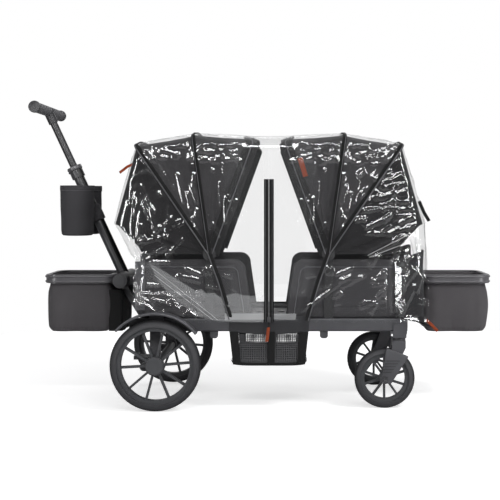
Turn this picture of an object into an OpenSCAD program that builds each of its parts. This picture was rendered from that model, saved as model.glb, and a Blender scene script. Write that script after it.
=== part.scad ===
// Stroller wagon for two children, with folding canopies, end baskets and a rain cover.
// +X points to the front (swivel casters), +Z is up, the origin is under the middle of the whole wagon.

/* [Rear wheels] */
// Outer diameter of a rear tyre
rear_wheel_d = 305; // [280:1:330]
// Width of a rear tyre
rear_tyre_w = 48; // [36:1:52]
// Radial thickness of a rear tyre
rear_tyre_h = 24; // [16:1:32]
// How far the middle of a rear wheel stands out from the middle of its rail
rear_offset = 46; // [43:1:70]
// Distance of the rear axle behind the middle of the body
rear_axle_back = 378; // [360:1:400]
// Radius of the rear axle
rear_axle_r = 8; // [6:0.5:10]

/* [Front casters] */
// Outer diameter of a front tyre
front_wheel_d = 204; // [180:1:210]
// Width of a front tyre
front_tyre_w = 40; // [30:1:44]
// Radial thickness of a front tyre
front_tyre_h = 20; // [14:1:26]
// How far a swivel axis stands in from the middle of its rail
caster_inset = 20; // [15:1:30]
// Distance of the swivel axes ahead of the middle of the body
caster_ahead = 440; // [430:1:445]
// How far a front wheel trails behind its swivel axis
caster_trail = 49; // [40:1:55]
// Radius of the swivel stem
stem_r = 9; // [7:0.5:11]
// Radius of the axle bolt of a front wheel
bolt_r = 5; // [4:0.5:6]

/* [Spokes] */
// Pairs of spokes in each wheel
spoke_pairs = 5; // [3:1:7]
// Width of one spoke
spoke_w = 8; // [5:1:12]
// Thickness of the rim under the tyre
rim_h = 13; // [8:1:18]

/* [Frame] */
// Height of the underside of the side rails
rail_z = 262; // [255:1:285]
// Height of the rail section
rail_h = 44; // [36:1:50]
// Width of the rail section
rail_w = 24; // [20:1:26]
// Wall of the rail section
rail_wall = 2.5; // [1.5:0.5:4]
// Distance between the middles of the rails
rail_track = 520; // [500:1:560]
// Length of the rails behind the middle of the body
rail_back = 470; // [463:1:480]
// Length of the rails ahead of the middle of the body
rail_ahead = 466; // [463:1:475]
// Radius of the frame tubes
tube_r = 9; // [7:0.5:10]
// Thickness of the floor boards
floor_t = 8; // [5:1:12]
// Distance of the end frames from the middle of the body
end_frame_x = 432; // [429:1:434]
// Radius of the fold hinge pins
fold_pin_r = 4; // [3:0.5:5]

/* [Handle] */
// Distance of the handle pivot behind the middle of the body
pivot_back = 519; // [512:1:525]
// Height of the handle pivot
pivot_z = 423; // [418:1:426]
// Lean of the handle from upright, in degrees
handle_lean = 25; // [23:0.5:28]
// Length of the lower handle tube from the pivot
lower_len = 420; // [400:1:450]
// Radius of the lower handle tube
lower_r = 19; // [17:0.5:20]
// Radius of the upper handle tube
upper_r = 13; // [11:0.5:14]
// Distance from the pivot to the grip bar
grip_reach = 660; // [640:1:690]
// Length of the grip from end to end
grip_len = 464; // [420:1:500]
// Radius of the foam grips
grip_r = 18; // [16:0.5:20]
// Outer diameter of a cup holder
cup_d = 120; // [100:1:130]
// Height of a cup holder
cup_h = 177; // [150:1:190]

/* [Canopies] */
// Distance of the canopy hubs from the middle of the body
hub_x = 200; // [190:1:210]
// Height of the canopy hubs
hub_z = 522; // [515:1:530]
// Reach of the fixed canopy bow from the hub
back_bow_reach = 452; // [445:1:452]
// Reach of the two moving canopy bows from the hub
bow_reach = 411; // [396:1:411]
// Lean of the front bow from upright, in degrees
front_bow_lean = 20; // [17:0.5:21]
// Lean of the middle bow from upright, in degrees
mid_bow_lean = -8; // [-9.5:0.5:-7]
// Lean of the fixed bow from upright, in degrees
back_bow_lean = -34; // [-35:0.5:-33]
// Lean of the tail hem of the canopy, in degrees
tail_lean = -72; // [-74:0.5:-70]
// Width of a bow strip
bow_w = 12; // [8:1:14]
// Thickness of a bow strip
bow_t = 2.7; // [2:0.1:2.8]
// Corner radius of the bows
bow_corner = 32; // [28:1:60]

/* [Rain cover] */
// How far the cover's sides stand out from the middles of the rails
cover_side = 25; // [25:0.5:30]
// Thickness of the film
film_t = 1.5; // [1:0.1:1.8]
// Height of the bottom hem
cover_hem_z = 294; // [290:1:300]
// Distance of the cover's rear end behind the middle of the body
cover_back = 455; // [455:1:465]
// Distance of the cover's front end ahead of the middle of the body
cover_ahead = 535; // [525:1:540]
// Height of the cover's roof at the middle
cover_top_z = 930; // [930:1:940]

/* [Seats] */
// Thickness of the padded side walls
wall_t = 13; // [8:1:13]
// Height of the top edge of the side walls
wall_top_z = 512; // [490:1:520]
// Distance of the inner edge of a side wall from the middle of the body
wall_edge_x = 73; // [60:1:90]
// Height of the seat cushions
cushion_h = 105; // [80:1:115]
// Thickness of the backrests
back_t = 42; // [30:1:55]
// Height of the backrests
back_h = 205; // [180:1:215]

/* [Baskets] */
// Length of an end basket rim
basket_l = 240; // [220:1:245]
// Width of an end basket rim
basket_w = 280; // [260:1:300]
// Height of the top of a rim
rim_top_z = 443; // [440:1:446]
// Height of the rim section
rim_sec_h = 29; // [24:1:32]
// Width of the rim section
rim_sec_w = 14; // [10:1:18]
// Depth of a basket bag below its rim
bag_depth = 174; // [150:1:180]
// Wall of the bags
bag_t = 2; // [1.5:0.1:3]
// Length of the under-basket
under_l = 268; // [240:1:300]
// Height of the under-basket's floor above the ground
under_z = 141; // [135:1:170]

/* [Hidden] */
// Clearances: running fit of a pin, gap beside a moving piece, seat of a soft piece
run_c = 0.05;
gap = 0.3;
seat_c = 0.3;
$fn = 48;

rail_y = rail_track / 2;
rail_top = rail_z + rail_h;
rail_in = rail_y - rail_w / 2;
rail_out = rail_y + rail_w / 2;
rear_track = rail_track + 2 * rear_offset;
front_track = rail_track - 2 * caster_inset;
cover_w = rail_track + 2 * cover_side;
rear_wheel_r = rear_wheel_d / 2;
front_wheel_r = front_wheel_d / 2;
front_axle_x = caster_ahead - caster_trail;
// Half the split between the two halves of the frame, and the axis of the fold
split = 0.4;
hinge_r = fold_pin_r + 5;
fold_z = rail_z - hinge_r - 1;
leaf_l = 60;
leaf_t = 4;
// Floor boards lie on the cross tubes
cross_z = rail_z + tube_r + 5;
floor_z = cross_z + tube_r;
floor_top = floor_z + floor_t;
// Canopy hubs: the post, then the eyes of the three bows, then the cap, going outwards
wall_y = rail_in + gap;
post_y = wall_y + wall_t + gap;
post_t = 5.2;
eye_y = post_y + post_t + gap;
hub_pin_r = 6;
cap_y = eye_y + 3 * (bow_t + gap);
film_in = cover_w / 2 - film_t;
// The crown of every arch over the wagon
crown_deg = 8;
// The handle's knuckle turns between the two drums of its bracket
knuckle_r = 25;
knuckle_w = 110;
pivot_pin_r = 8;
drum_past = 12;
drum_out = basket_w / 2 + drum_past;
// Collar at the end of the lower tube: its length past the end and before it, and its wall
collar_above = 20;
collar_below = 22;
collar_wall = 5;
// Length of the upper tube that stays in the lower one when drawn out, and the bore that it slides in
tube_overlap = 120;
tube_wall = 2;
upper_in = lower_len - tube_overlap;
slide_r = upper_r + gap + 0.1;
// Lock button in the collar, with the length that stands out and its travel
button_z = lower_len + collar_above / 2;
button_r = 7;
button_l = 7;
button_out = 3;
button_travel = 3;
// Cross bar with its neck, the foam grips and the end caps
crossbar_r = 12;
bar_end = 6;
cap_l = 18;
neck_half = 22;
neck_l = 46;
neck_wall = 4;
neck_stop = 20;
fork_gap = 4;
arm_t = 7;
crown_z = front_wheel_d + 8;
// Height of a caster head below the rail, and the gap between a rear tyre and its mudguard
head_h = 25;
guard_gap = 18;
crown_top = rail_z - head_h;
guard_t = 6;
guard_r = rear_wheel_r + guard_gap + guard_t;
// Brake bar behind the axle
bar_offset = 45;
bar_back = rear_axle_back + bar_offset;
bar_r = 7;
bar_z = rear_wheel_r - 12;
// The rear end of the grip and the front end of the front basket set the middle of the whole wagon
grip_x = -pivot_back - grip_reach * sin(handle_lean);
front_basket_x = cover_ahead - 5;
front_end_x = front_basket_x + basket_l;
body_x = -(grip_x - grip_r + front_end_x) / 2;

frame_grey = "#4A4A4D";
fabric_grey = "#3F3E40";
trim_grey = "#5A595B";
dark_plastic = "#2A2A2C";
tyre_black = "#1C1C1D";
rim_grey = "#47484A";
film_white = [0.85, 0.86, 0.88, 0.4];

// Placing helpers
module place(dx = 0, dz = 0) { translate([body_x + dx, 0, dz]) children(); }
module both_sides() { children(); mirror([0, 1, 0]) children(); }
// The front half of the wagon is the rear half turned round, where nothing else is said
module front_half() { place() mirror([1, 0, 0]) children(); }
// A flat plate in the XZ plane, from y to y + t
module side_plate(y, t) { translate([0, y + t, 0]) rotate([90, 0, 0]) linear_extrude(t) children(); }
// A rod along Y, from y0 to y1, at x and z
module rod_y(x, z, r, y0, y1) { translate([x, y1, z]) rotate([90, 0, 0]) cylinder(r = r, h = y1 - y0); }
module block(x0, x1, y0, y1, z0, z1) { translate([x0, y0, z0]) cube([x1 - x0, y1 - y0, z1 - z0]); }
module round_rect(w, h, r) {
    square([w, h - 2 * r], center = true);
    square([w - 2 * r, h], center = true);
    for (x = [-1, 1], y = [-1, 1]) translate([x * (w / 2 - r), y * (h / 2 - r)]) circle(r);
}

// Arches: a leg up each side, two round corners and a crowned top, as used by bows, canopies and cover
function crown_rise(w, rc) = (w - rc) * tan(crown_deg / 2);
function arch_drop(w, rc) = rc + crown_rise(w, rc);
function top_radius(w, rc) = rc + (w - rc) / sin(crown_deg);
module arch_2d(w, rc, top) {
    zc = top - arch_drop(w, rc);
    y_join = w - rc + rc * sin(crown_deg);
    translate([-w, 0]) square([2 * w, zc]);
    for (s = [-1, 1]) translate([s * (w - rc), zc]) circle(rc);
    intersection() {
        translate([0, zc - (w - rc) / tan(crown_deg)]) circle(top_radius(w, rc), $fn = 96);
        translate([-y_join, 0]) square([2 * y_join, top + 1]);
    }
}
// One side of an arch as [y, height above the corner's start], from the corner's start to the middle
function half_arch(w, rc, corner_n, top_n) = concat(
    [for (i = [0:corner_n]) let (a = i / corner_n * (90 - crown_deg))
        [w - rc + rc * cos(a), rc * sin(a)]],
    [for (i = [1:top_n]) let (a = crown_deg * (1 - i / top_n))
        [top_radius(w, rc) * sin(a), top_radius(w, rc) * cos(a) - (w - rc) / tan(crown_deg)]]);
// A whole arch from one side to the other, with a leg of the given length below each corner
function full_arch(w, rc, leg, corner_n, top_n) =
    let (h = concat(leg > 0 ? [[w, -leg]] : [], half_arch(w, rc, corner_n, top_n)), n = len(h))
    concat([for (p = h) [-p[0], p[1]]], [for (i = [n - 2:-1:0]) h[i]]);
// The arch set in a leaning plane: s is where the corners start and u the way up, both in XZ
function arch_row(s, u, w, rc, leg) =
    [for (p = full_arch(w, rc, leg, 7, 4)) [s[0] + u[0] * p[1], p[0], s[1] + u[1] * p[1]]];
function lean_way(a) = [sin(a), cos(a)];
// A row of a sheet whose top is at reach from the hub, drawn in by t on the inside
function hub_row(a, reach, w, rc, foot, t) =
    let (u = lean_way(a), up = reach - arch_drop(w, rc))
    arch_row([-hub_x + u[0] * up, hub_z + u[1] * up], u, w - t, rc - t, foot > 0 ? up - foot : 0);

// A closed sheet between an outer and an inner grid of points with the same rows and columns
module sheet(outer, inner) {
    n = len(outer);
    m = len(outer[0]);
    c = n * m;
    points = concat([for (r = outer, p = r) p], [for (r = inner, p = r) p]);
    faces = concat(
        [for (i = [0:n - 2], j = [0:m - 2], k = [0, 1]) let (a = i * m + j)
            k == 0 ? [a, a + 1, a + m + 1] : [a, a + m + 1, a + m]],
        [for (i = [0:n - 2], j = [0:m - 2], k = [0, 1]) let (a = c + i * m + j)
            k == 0 ? [a, a + m + 1, a + 1] : [a, a + m, a + m + 1]],
        [for (i = [0:n - 2], k = [0, 1]) let (a = i * m, d = a + m)
            k == 0 ? [a, d, d + c] : [a, d + c, a + c]],
        [for (i = [0:n - 2], k = [0, 1]) let (a = i * m + m - 1, d = a + m)
            k == 0 ? [d, a, a + c] : [d, a + c, d + c]],
        [for (j = [0:m - 2], k = [0, 1]) k == 0 ? [j + 1, j, j + c] : [j + 1, j + c, j + 1 + c]],
        [for (j = [0:m - 2], k = [0, 1]) let (a = (n - 1) * m + j)
            k == 0 ? [a, a + 1, a + 1 + c] : [a, a + 1 + c, a + c]]);
    polyhedron(points, faces, convexity = 6);
}

// A padded cushion: flat below, drawn in between its corners, crowned above with sewn channels across
function pad_ring(l, w, inset, z, pull) = [for (i = [0:35]) let (t = i * 10 + 5,
    c = cos(t), s = sin(t), n = 5, r = pow(pow(abs(c), n) + pow(abs(s), n), -1 / n),
    side = 1 - pull * pow(cos(2 * t), 4))
    [(l / 2 - inset) * r * c * side, (w / 2 - inset) * r * s * side, z]];
module pad(l, w, h, pull) {
    // Rings from the bottom up: how far each is drawn in, and its share of the height
    steps = [[8, 0], [0, 0.12], [1, 0.5], [0, 0.84], [6, 0.93], [20, 0.97], [40, 0.93], [58, 0.98], [85, 1]];
    rings = [for (q = steps) pad_ring(l, w, q[0], q[1] * h, pull)];
    m = len(rings[0]);
    n = len(rings);
    points = concat([for (r = rings, p = r) p], [[0, 0, h], [0, 0, 0]]);
    faces = concat(
        [for (i = [0:n - 2], j = [0:m - 1], k = [0, 1]) let (a = i * m + j, b = i * m + (j + 1) % m)
            k == 0 ? [a, b + m, b] : [a, a + m, b + m]],
        [for (j = [0:m - 1]) [(n - 1) * m + j, n * m, (n - 1) * m + (j + 1) % m]],
        [for (j = [0:m - 1]) [(j + 1) % m, n * m + 1, j]]);
    polyhedron(points, faces, convexity = 4);
}

// Frame
rail_round = 6;
// Tab under a rail that the under-basket's strap hooks on
tab_x = 185;
tab_w = 27;
tab_h = 24;
tab_t = 8;
tab_round = 10;
module rail_tab() { side_plate(rail_y - tab_t / 2, tab_t) translate([-tab_x, rail_z - tab_h]) {
    translate([-tab_w / 2, tab_round]) square([tab_w, tab_h - tab_round]);
    translate([-tab_w / 2 + tab_round, 0]) square([tab_w - 2 * tab_round, tab_round]);
    for (s = [-1, 1]) translate([s * (tab_w / 2 - tab_round), tab_round]) circle(tab_round);
} }
module half_rails(length) {
    both_sides() {
        translate([-length, rail_y, rail_z + rail_h / 2]) rotate([90, 0, 90])
            linear_extrude(length - split) difference() {
                round_rect(rail_w, rail_h, rail_round);
                round_rect(rail_w - 2 * rail_wall, rail_h - 2 * rail_wall, rail_round - rail_wall);
            }
        rail_tab();
    }
}
// Leaf of the fold hinge under a rail, with a knuckle at each given place across it
module fold_leaf(knuckles) {
    both_sides() {
        block(-leaf_l, -hinge_r - 2, rail_in, rail_out, rail_z - leaf_t, rail_z);
        for (k = knuckles) difference() {
            union() {
                rod_y(0, fold_z, hinge_r, k[0], k[1]);
                block(-hinge_r - 3, 0, k[0], k[1], fold_z, rail_z);
            }
            rod_y(0, fold_z, fold_pin_r + run_c, k[0] - 1, k[1] + 1);
        }
    }
}
knuckle_third = rail_w / 3;
outer_knuckles = [[rail_in, rail_in + knuckle_third - gap], [rail_out - knuckle_third + gap, rail_out]];
inner_knuckle = [[rail_in + knuckle_third, rail_out - knuckle_third]];
module rear_side_rails() { color(frame_grey) place() {
    half_rails(rail_back);
    fold_leaf(outer_knuckles);
} }
module front_side_rails() { color(frame_grey) front_half() {
    half_rails(rail_ahead);
    fold_leaf(inner_knuckle);
} }
module fold_hinge_pins() { color("silver") place() both_sides()
    rod_y(0, fold_z, fold_pin_r, rail_in, rail_out); }

// The posts of an end frame stand this far in from the rails
post_inset = 48;
post_in = rail_in - post_inset;
module end_tubes() {
    both_sides() translate([-end_frame_x, post_in, cross_z]) cylinder(r = tube_r, h = wall_top_z - cross_z);
    for (z = [cross_z, pivot_z, wall_top_z]) rod_y(-end_frame_x, z, tube_r,
        z == cross_z ? -rail_in : -post_in - tube_r, z == cross_z ? rail_in : post_in + tube_r);
    for (x = [hub_x, wall_edge_x + tube_r]) rod_y(-x, cross_z, tube_r, -rail_in, rail_in);
}
module rear_frame_tubes() { color(frame_grey) place() end_tubes(); }
hook_l = front_basket_x - end_frame_x;
hook_w = 12;
hook_h = 24;
module front_frame_tubes() { color(frame_grey) front_half() {
    end_tubes();
    // Two hooks that carry the front basket
    for (s = [-1, 1]) difference() {
        side_plate(s * basket_w / 4 - hook_w / 2, hook_w)
            translate([-end_frame_x - hook_l, pivot_z - hook_h / 2]) square([hook_l, hook_h]);
        rod_y(-end_frame_x, pivot_z, tube_r - 1, -rail_in, rail_in);
    }
} }
// Two finger holes near the fold of each floor board
finger_r = 14;
finger_x = 40;
finger_y = 90;
module floor_board() { difference() {
    block(-end_frame_x + tube_r + gap, -split, -rail_in + gap, rail_in - gap, floor_z, floor_top);
    for (s = [-1, 1]) translate([-finger_x, s * finger_y, floor_z - 1]) cylinder(r = finger_r, h = floor_t + 2);
} }
module rear_floor_board() { color(dark_plastic) place() floor_board(); }
module front_floor_board() { color(dark_plastic) front_half() floor_board(); }

// Legs below the rails, with bosses for the axle and the brake bar
leg_y = rail_in - 7;
leg_t = 18;
leg_ahead = 12;
leg_back = 24;
axle_end = 12;
axle_sleeve = 5;
axle_boss_r = 18;
bar_boss_r = 14;
module rear_axle() { color(frame_grey) place(-rear_axle_back) {
    rod_y(0, rear_wheel_r, rear_axle_r, -rear_track / 2 - axle_end, rear_track / 2 + axle_end);
    rod_y(0, rear_wheel_r, rear_axle_r + axle_sleeve, -leg_y, leg_y);
    both_sides() difference() {
        union() {
            block(-leg_back, leg_ahead, leg_y, leg_y + leg_t, rear_wheel_r, rail_z);
            rod_y(0, rear_wheel_r, axle_boss_r, leg_y, leg_y + leg_t);
            block(-bar_offset, 0, leg_y, leg_y + leg_t, bar_z - bar_boss_r, bar_z + bar_boss_r);
            rod_y(-bar_offset, bar_z, bar_boss_r, leg_y, leg_y + leg_t);
        }
        rod_y(-bar_offset, bar_z, bar_r + run_c, leg_y - 1, leg_y + leg_t + 1);
    }
} }
// Brake pedal with a raised lip along its end
pedal_l = 62;
pedal_w = 90;
pedal_t = 8;
pedal_z = -5;
lip_l = 12;
lip_h = 13;
module brake_bar() { color(dark_plastic) place(-bar_back, bar_z) {
    rod_y(0, 0, bar_r, -leg_y - leg_t + 2, leg_y + leg_t - 2);
    block(-pedal_l, 0, -pedal_w / 2, pedal_w / 2, pedal_z, pedal_z + pedal_t);
    block(-pedal_l, -pedal_l + lip_l, -pedal_w / 2, pedal_w / 2, pedal_z, pedal_z + lip_h);
} }
// Mudguards: angle of the front end above level, the arc, the overhang past the tyre, the mounting plate
guard_from = 38;
guard_arc = 100;
guard_past = 6;
guard_plate_w = 48;
guard_plate_t = 4;
guard_plate_z = rail_z + 12;
module mudguards() { color(dark_plastic) place(-rear_axle_back) both_sides() {
    translate([0, rail_out, rear_wheel_r]) rotate([-90, 0, 0]) rotate([0, 0, -guard_from - guard_arc])
        rotate_extrude(angle = guard_arc, $fn = 96) translate([guard_r - guard_t, 0])
            square([guard_t, rear_track / 2 + rear_tyre_w / 2 + guard_past - rail_out]);
    block(-guard_plate_w / 2, guard_plate_w / 2, rail_out, rail_out + guard_plate_t, guard_plate_z,
        rear_wheel_r + guard_r - guard_t / 2);
} }

// Handle: drums and ears that carry the pivot, the pin, and what swings on it
drum_in = knuckle_w / 2 + gap;
ear_y = drum_in + 8;
ear_t = 16;
ear_h = 30;
ear_drop = 18;
strut_w = 24;
pin_cap_r = knuckle_r - 7;
pin_cap_t = 4;
module handle_bracket() { color(trim_grey) place() difference() {
    both_sides() {
        rod_y(-pivot_back, pivot_z, knuckle_r, drum_in, drum_out);
        side_plate(ear_y, ear_t)
            translate([-pivot_back, pivot_z - ear_drop]) square([pivot_back - end_frame_x, ear_h]);
        // Lower strut of the bracket, down to the rear cross tube
        side_plate(ear_y, ear_t)
            polygon([[-pivot_back - strut_w / 2, pivot_z - ear_drop],
                [-pivot_back + strut_w / 2, pivot_z - ear_drop],
                [-end_frame_x, cross_z + tube_r], [-end_frame_x, cross_z - tube_r],
                [-end_frame_x - strut_w / 2, cross_z - tube_r]]);
    }
    rod_y(-pivot_back, pivot_z, pivot_pin_r, -drum_out - 1, drum_out + 1);
    rod_y(-end_frame_x, pivot_z, tube_r, -drum_out, drum_out);
    rod_y(-end_frame_x, cross_z, tube_r, -drum_out, drum_out);
} }
module handle_pivot_pin() { color(dark_plastic) place(-pivot_back, pivot_z) {
    rod_y(0, 0, pivot_pin_r, -drum_out, drum_out);
    both_sides() rod_y(0, 0, pin_cap_r, drum_out, drum_out + pin_cap_t);
} }
module on_handle() { place(-pivot_back, pivot_z) rotate([0, -handle_lean, 0]) children(); }
// The bore of the lower tube stops this far above the knuckle
bore_floor = 20;
module handle_lower_tube() { color(frame_grey) on_handle() {
    difference() {
        union() {
            rod_y(0, 0, knuckle_r, -knuckle_w / 2, knuckle_w / 2);
            cylinder(r = lower_r, h = lower_len);
        }
        rod_y(0, 0, pivot_pin_r + run_c, -knuckle_w, knuckle_w);
        translate([0, 0, knuckle_r + bore_floor]) cylinder(r = slide_r, h = lower_len);
    }
    // Clamping collar at the top of the tube
    difference() {
        translate([0, 0, lower_len - collar_below])
            cylinder(r = lower_r + collar_wall, h = collar_below + collar_above);
        translate([0, 0, lower_len - collar_below - 1]) cylinder(r = lower_r + 0.1, h = collar_below + 1);
        translate([0, 0, lower_len - 1]) cylinder(r = slide_r, h = collar_above + 2);
        translate([-lower_r - collar_wall - 1, 0, button_z]) rotate([0, 90, 0])
            cylinder(r = button_r + gap + 0.1, h = 1 + button_l - button_out + button_travel + 0.5);
    }
} }
module handle_lock_button() { color(dark_plastic) on_handle()
    translate([-lower_r - collar_wall - button_out, 0, button_z]) rotate([0, 90, 0])
        cylinder(r = button_r, h = button_l); }
module handle_upper_tube() { color("#3A3A3C") on_handle() difference() {
    translate([0, 0, upper_in]) cylinder(r = upper_r, h = grip_reach - neck_stop - upper_in);
    translate([0, 0, upper_in - 1]) cylinder(r = upper_r - tube_wall, h = grip_reach);
} }
module handle_crossbar() { color(dark_plastic) on_handle() difference() {
    union() {
        rod_y(0, grip_reach, crossbar_r, -grip_len / 2 + bar_end, grip_len / 2 - bar_end);
        rod_y(0, grip_reach, crossbar_r + neck_wall - 1, -neck_half + gap, neck_half - gap);
        translate([0, 0, grip_reach - neck_l]) cylinder(r = upper_r + neck_wall, h = neck_l);
    }
    translate([0, 0, grip_reach - neck_l - 1])
        cylinder(r = upper_r + run_c, h = neck_l + 1 - neck_stop + run_c);
} }
module grip_foam() { color("#1E1E1F") on_handle() both_sides() difference() {
    rod_y(0, grip_reach, grip_r, neck_half, grip_len / 2 - cap_l);
    rod_y(0, grip_reach, crossbar_r + run_c, 0, grip_len);
} }
// The end caps are a little slimmer than the foam
cap_step = 0.4;
module grip_end_caps() { color(dark_plastic) on_handle() both_sides() difference() {
    rod_y(0, grip_reach, grip_r - cap_step, grip_len / 2 - cap_l, grip_len / 2);
    rod_y(0, grip_reach, crossbar_r + run_c, 0, grip_len / 2 - bar_end + run_c);
} }
// Cup holders hang upright on each side of the lower tube
cup_at = 268;
cup_back = 46;
cup_wall = 3;
saddle_side = 10;
saddle_below = 40;
saddle_above = 20;
cup_x = -cup_at * sin(handle_lean) - cup_back;
cup_z = cup_at * cos(handle_lean) - cup_h / 2;
cup_y = lower_r + 1.5 + cup_d / 2;
module cup_caddy() { color(fabric_grey) place(-pivot_back, pivot_z) difference() {
    union() {
        both_sides() translate([cup_x, cup_y, cup_z]) cylinder(d = cup_d, h = cup_h);
        // Saddle that wraps the tube between the two holders
        rotate([0, -handle_lean, 0])
            block(-cup_d / 2, lower_r + 6, -lower_r - saddle_side, lower_r + saddle_side,
                cup_at - saddle_below, cup_at + saddle_above);
    }
    both_sides() translate([cup_x, cup_y, cup_z + cup_wall]) cylinder(d = cup_d - 2 * cup_wall, h = cup_h);
    rotate([0, -handle_lean, 0]) cylinder(r = lower_r + gap, h = lower_len);
} }

// Wheels: in a wheel's own frame the axle lies along Z, with the outside towards +Z
tyre_bead = 3;
rear_hub_r = 28;
front_hub_r = 18;
// How far a rim is set in from the sides of its tyre
rim_inset = 7;
module tyre(r, w, h) { rotate_extrude($fn = 96) intersection() {
    translate([r - h, -w / 2]) square([h, w]);
    union() {
        translate([r - w / 2, 0]) circle(w / 2);
        translate([r - h, -w / 2 + tyre_bead]) square([h - w / 4, w - 2 * tyre_bead]);
    }
} }
// Half the spread of a pair of spokes at the rim, as a share of the wheel's radius, and the rear wheels' turn
spoke_spread = 0.25;
rear_spoke_turn = 22;
module spoked_rim(r, w, hub_r, hub_w, turn = 0) { difference() {
    union() {
        rotate_extrude($fn = 96) translate([r - rim_h, -w / 2]) square([rim_h, w]);
        translate([0, 0, -hub_w / 2]) cylinder(r = hub_r, h = hub_w);
        // Each pair of spokes leaves the hub side by side and spreads to the rim
        translate([0, 0, -w / 4]) linear_extrude(w / 2) for (i = [0:spoke_pairs - 1], s = [-1, 1])
            rotate(turn + i * 360 / spoke_pairs) polygon([
                [hub_r * 0.8, s * spoke_w * 0.3], [hub_r * 0.8, s * spoke_w * 1.3],
                [r - rim_h + 3, s * (spoke_w + r * spoke_spread)], [r - rim_h + 3, s * r * spoke_spread]]);
    }
    children();
} }
module rear_wheel_at(side) { place(-rear_axle_back, rear_wheel_r) translate([0, side * rear_track / 2, 0])
    rotate([-90 * side, 0, 0]) children(); }
module rear_tyre(side) { color(tyre_black) rear_wheel_at(side)
    tyre(rear_wheel_r, rear_tyre_w, rear_tyre_h); }
module rear_rim(side) { color(rim_grey) rear_wheel_at(side)
    spoked_rim(rear_wheel_r - rear_tyre_h - run_c, rear_tyre_w - 2 * rim_inset, rear_hub_r,
        rear_tyre_w - rim_inset, rear_spoke_turn)
        translate([0, 0, -rear_tyre_w]) cylinder(r = rear_axle_r + run_c, h = rear_tyre_w + axle_end + 1); }
module rear_tyre_right() { rear_tyre(-1); }
module rear_tyre_left() { rear_tyre(1); }
module rear_rim_right() { rear_rim(-1); }
module rear_rim_left() { rear_rim(1); }
module front_wheel_at(side) { place(front_axle_x, front_wheel_r) translate([0, side * front_track / 2, 0])
    rotate([-90 * side, 0, 0]) children(); }
module front_tyre(side) { color(tyre_black) front_wheel_at(side)
    tyre(front_wheel_r, front_tyre_w, front_tyre_h); }
module front_rim(side) { color(rim_grey) front_wheel_at(side)
    spoked_rim(front_wheel_r - front_tyre_h - run_c, front_tyre_w - 2 * rim_inset, front_hub_r,
        front_tyre_w + 2 * fork_gap - 1)
        translate([0, 0, -front_tyre_w]) cylinder(r = bolt_r + run_c, h = 2 * front_tyre_w); }
module front_tyre_right() { front_tyre(-1); }
module front_tyre_left() { front_tyre(1); }
module front_rim_right() { front_rim(-1); }
module front_rim_left() { front_rim(1); }

arm_in = front_tyre_w / 2 + fork_gap;
fork_half = arm_in + arm_t;
// Heads: the socket for the stem, a plate under the rail, and a cheek that bolts to the rail's outer face
head_r = 21;
plate_ahead = 24;
plate_back = 30;
plate_t = 8;
cheek_t = 5;
cheek_w = 44;
cheek_low = 4;
cheek_drop = 18;
cheek_high = rail_h - cheek_drop;
head_out = rail_out + cheek_t - front_track / 2;
stem_l = rail_z - crown_top - 2;
module caster_heads() { color(trim_grey) place(caster_ahead) both_sides() translate([0, front_track / 2, 0])
    difference() {
        union() {
            translate([0, 0, crown_top + gap]) cylinder(r = head_r, h = rail_z - crown_top - gap);
            block(-plate_back, plate_ahead, 0, head_out, rail_z - plate_t, rail_z);
            block(-cheek_w / 2, cheek_w / 2, head_out - cheek_t, head_out,
                crown_top + cheek_low, rail_z + cheek_high);
        }
        translate([0, 0, crown_top]) cylinder(r = stem_r + run_c, h = stem_l);
    } }
// Forks: a crown under the head, two arms that slant back to the axle, and the axle bolt
crown_r = 22;
crown_ahead = 20;
crown_back = 24;
crown_step = 6;
arm_half = 16;
arm_end_r = 17;
bolt_head_r = bolt_r + 4;
bolt_head_t = 4;
module caster_fork(side) { color(dark_plastic) place(caster_ahead) translate([0, side * front_track / 2, 0]) {
    difference() {
        union() {
            translate([0, 0, crown_z]) cylinder(r = crown_r, h = crown_top - crown_z);
            block(-crown_back, crown_ahead, -fork_half, fork_half, crown_z, crown_top - crown_step);
            translate([0, 0, crown_top - 1]) cylinder(r = stem_r, h = stem_l - 1);
            both_sides() side_plate(arm_in, arm_t) {
                polygon([[-crown_back, crown_top - crown_step], [crown_ahead, crown_top - crown_step],
                    [crown_ahead, crown_z - crown_step], [-caster_trail + arm_half, front_wheel_r - 4],
                    [-caster_trail - arm_half, front_wheel_r + 4], [-crown_back - 2, crown_z - crown_step]]);
                translate([-caster_trail, front_wheel_r]) circle(arm_end_r);
            }
        }
        rod_y(-caster_trail, front_wheel_r, bolt_r + run_c, -fork_half - 1, fork_half + 1);
    }
    // Axle bolt with its two heads
    rod_y(-caster_trail, front_wheel_r, bolt_r, -fork_half, fork_half);
    both_sides() rod_y(-caster_trail, front_wheel_r, bolt_head_r, fork_half, fork_half + bolt_head_t);
} }
module caster_fork_right() { caster_fork(-1); }
module caster_fork_left() { caster_fork(1); }

// Canopies: the rear one is drawn, the front one is the same turned round
post_r = 15;
hub_cap_r = 22;
eye_r = 13;
module canopy_hubs() { both_sides() {
    side_plate(post_y, post_t) {
        translate([-hub_x - post_r, rail_top]) square([2 * post_r, hub_z - rail_top]);
        translate([-hub_x, hub_z]) circle(post_r);
    }
    rod_y(-hub_x, hub_z, hub_pin_r, post_y, cap_y + 1);
    rod_y(-hub_x, hub_z, hub_cap_r, cap_y, film_in - seat_c);
} }
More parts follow.
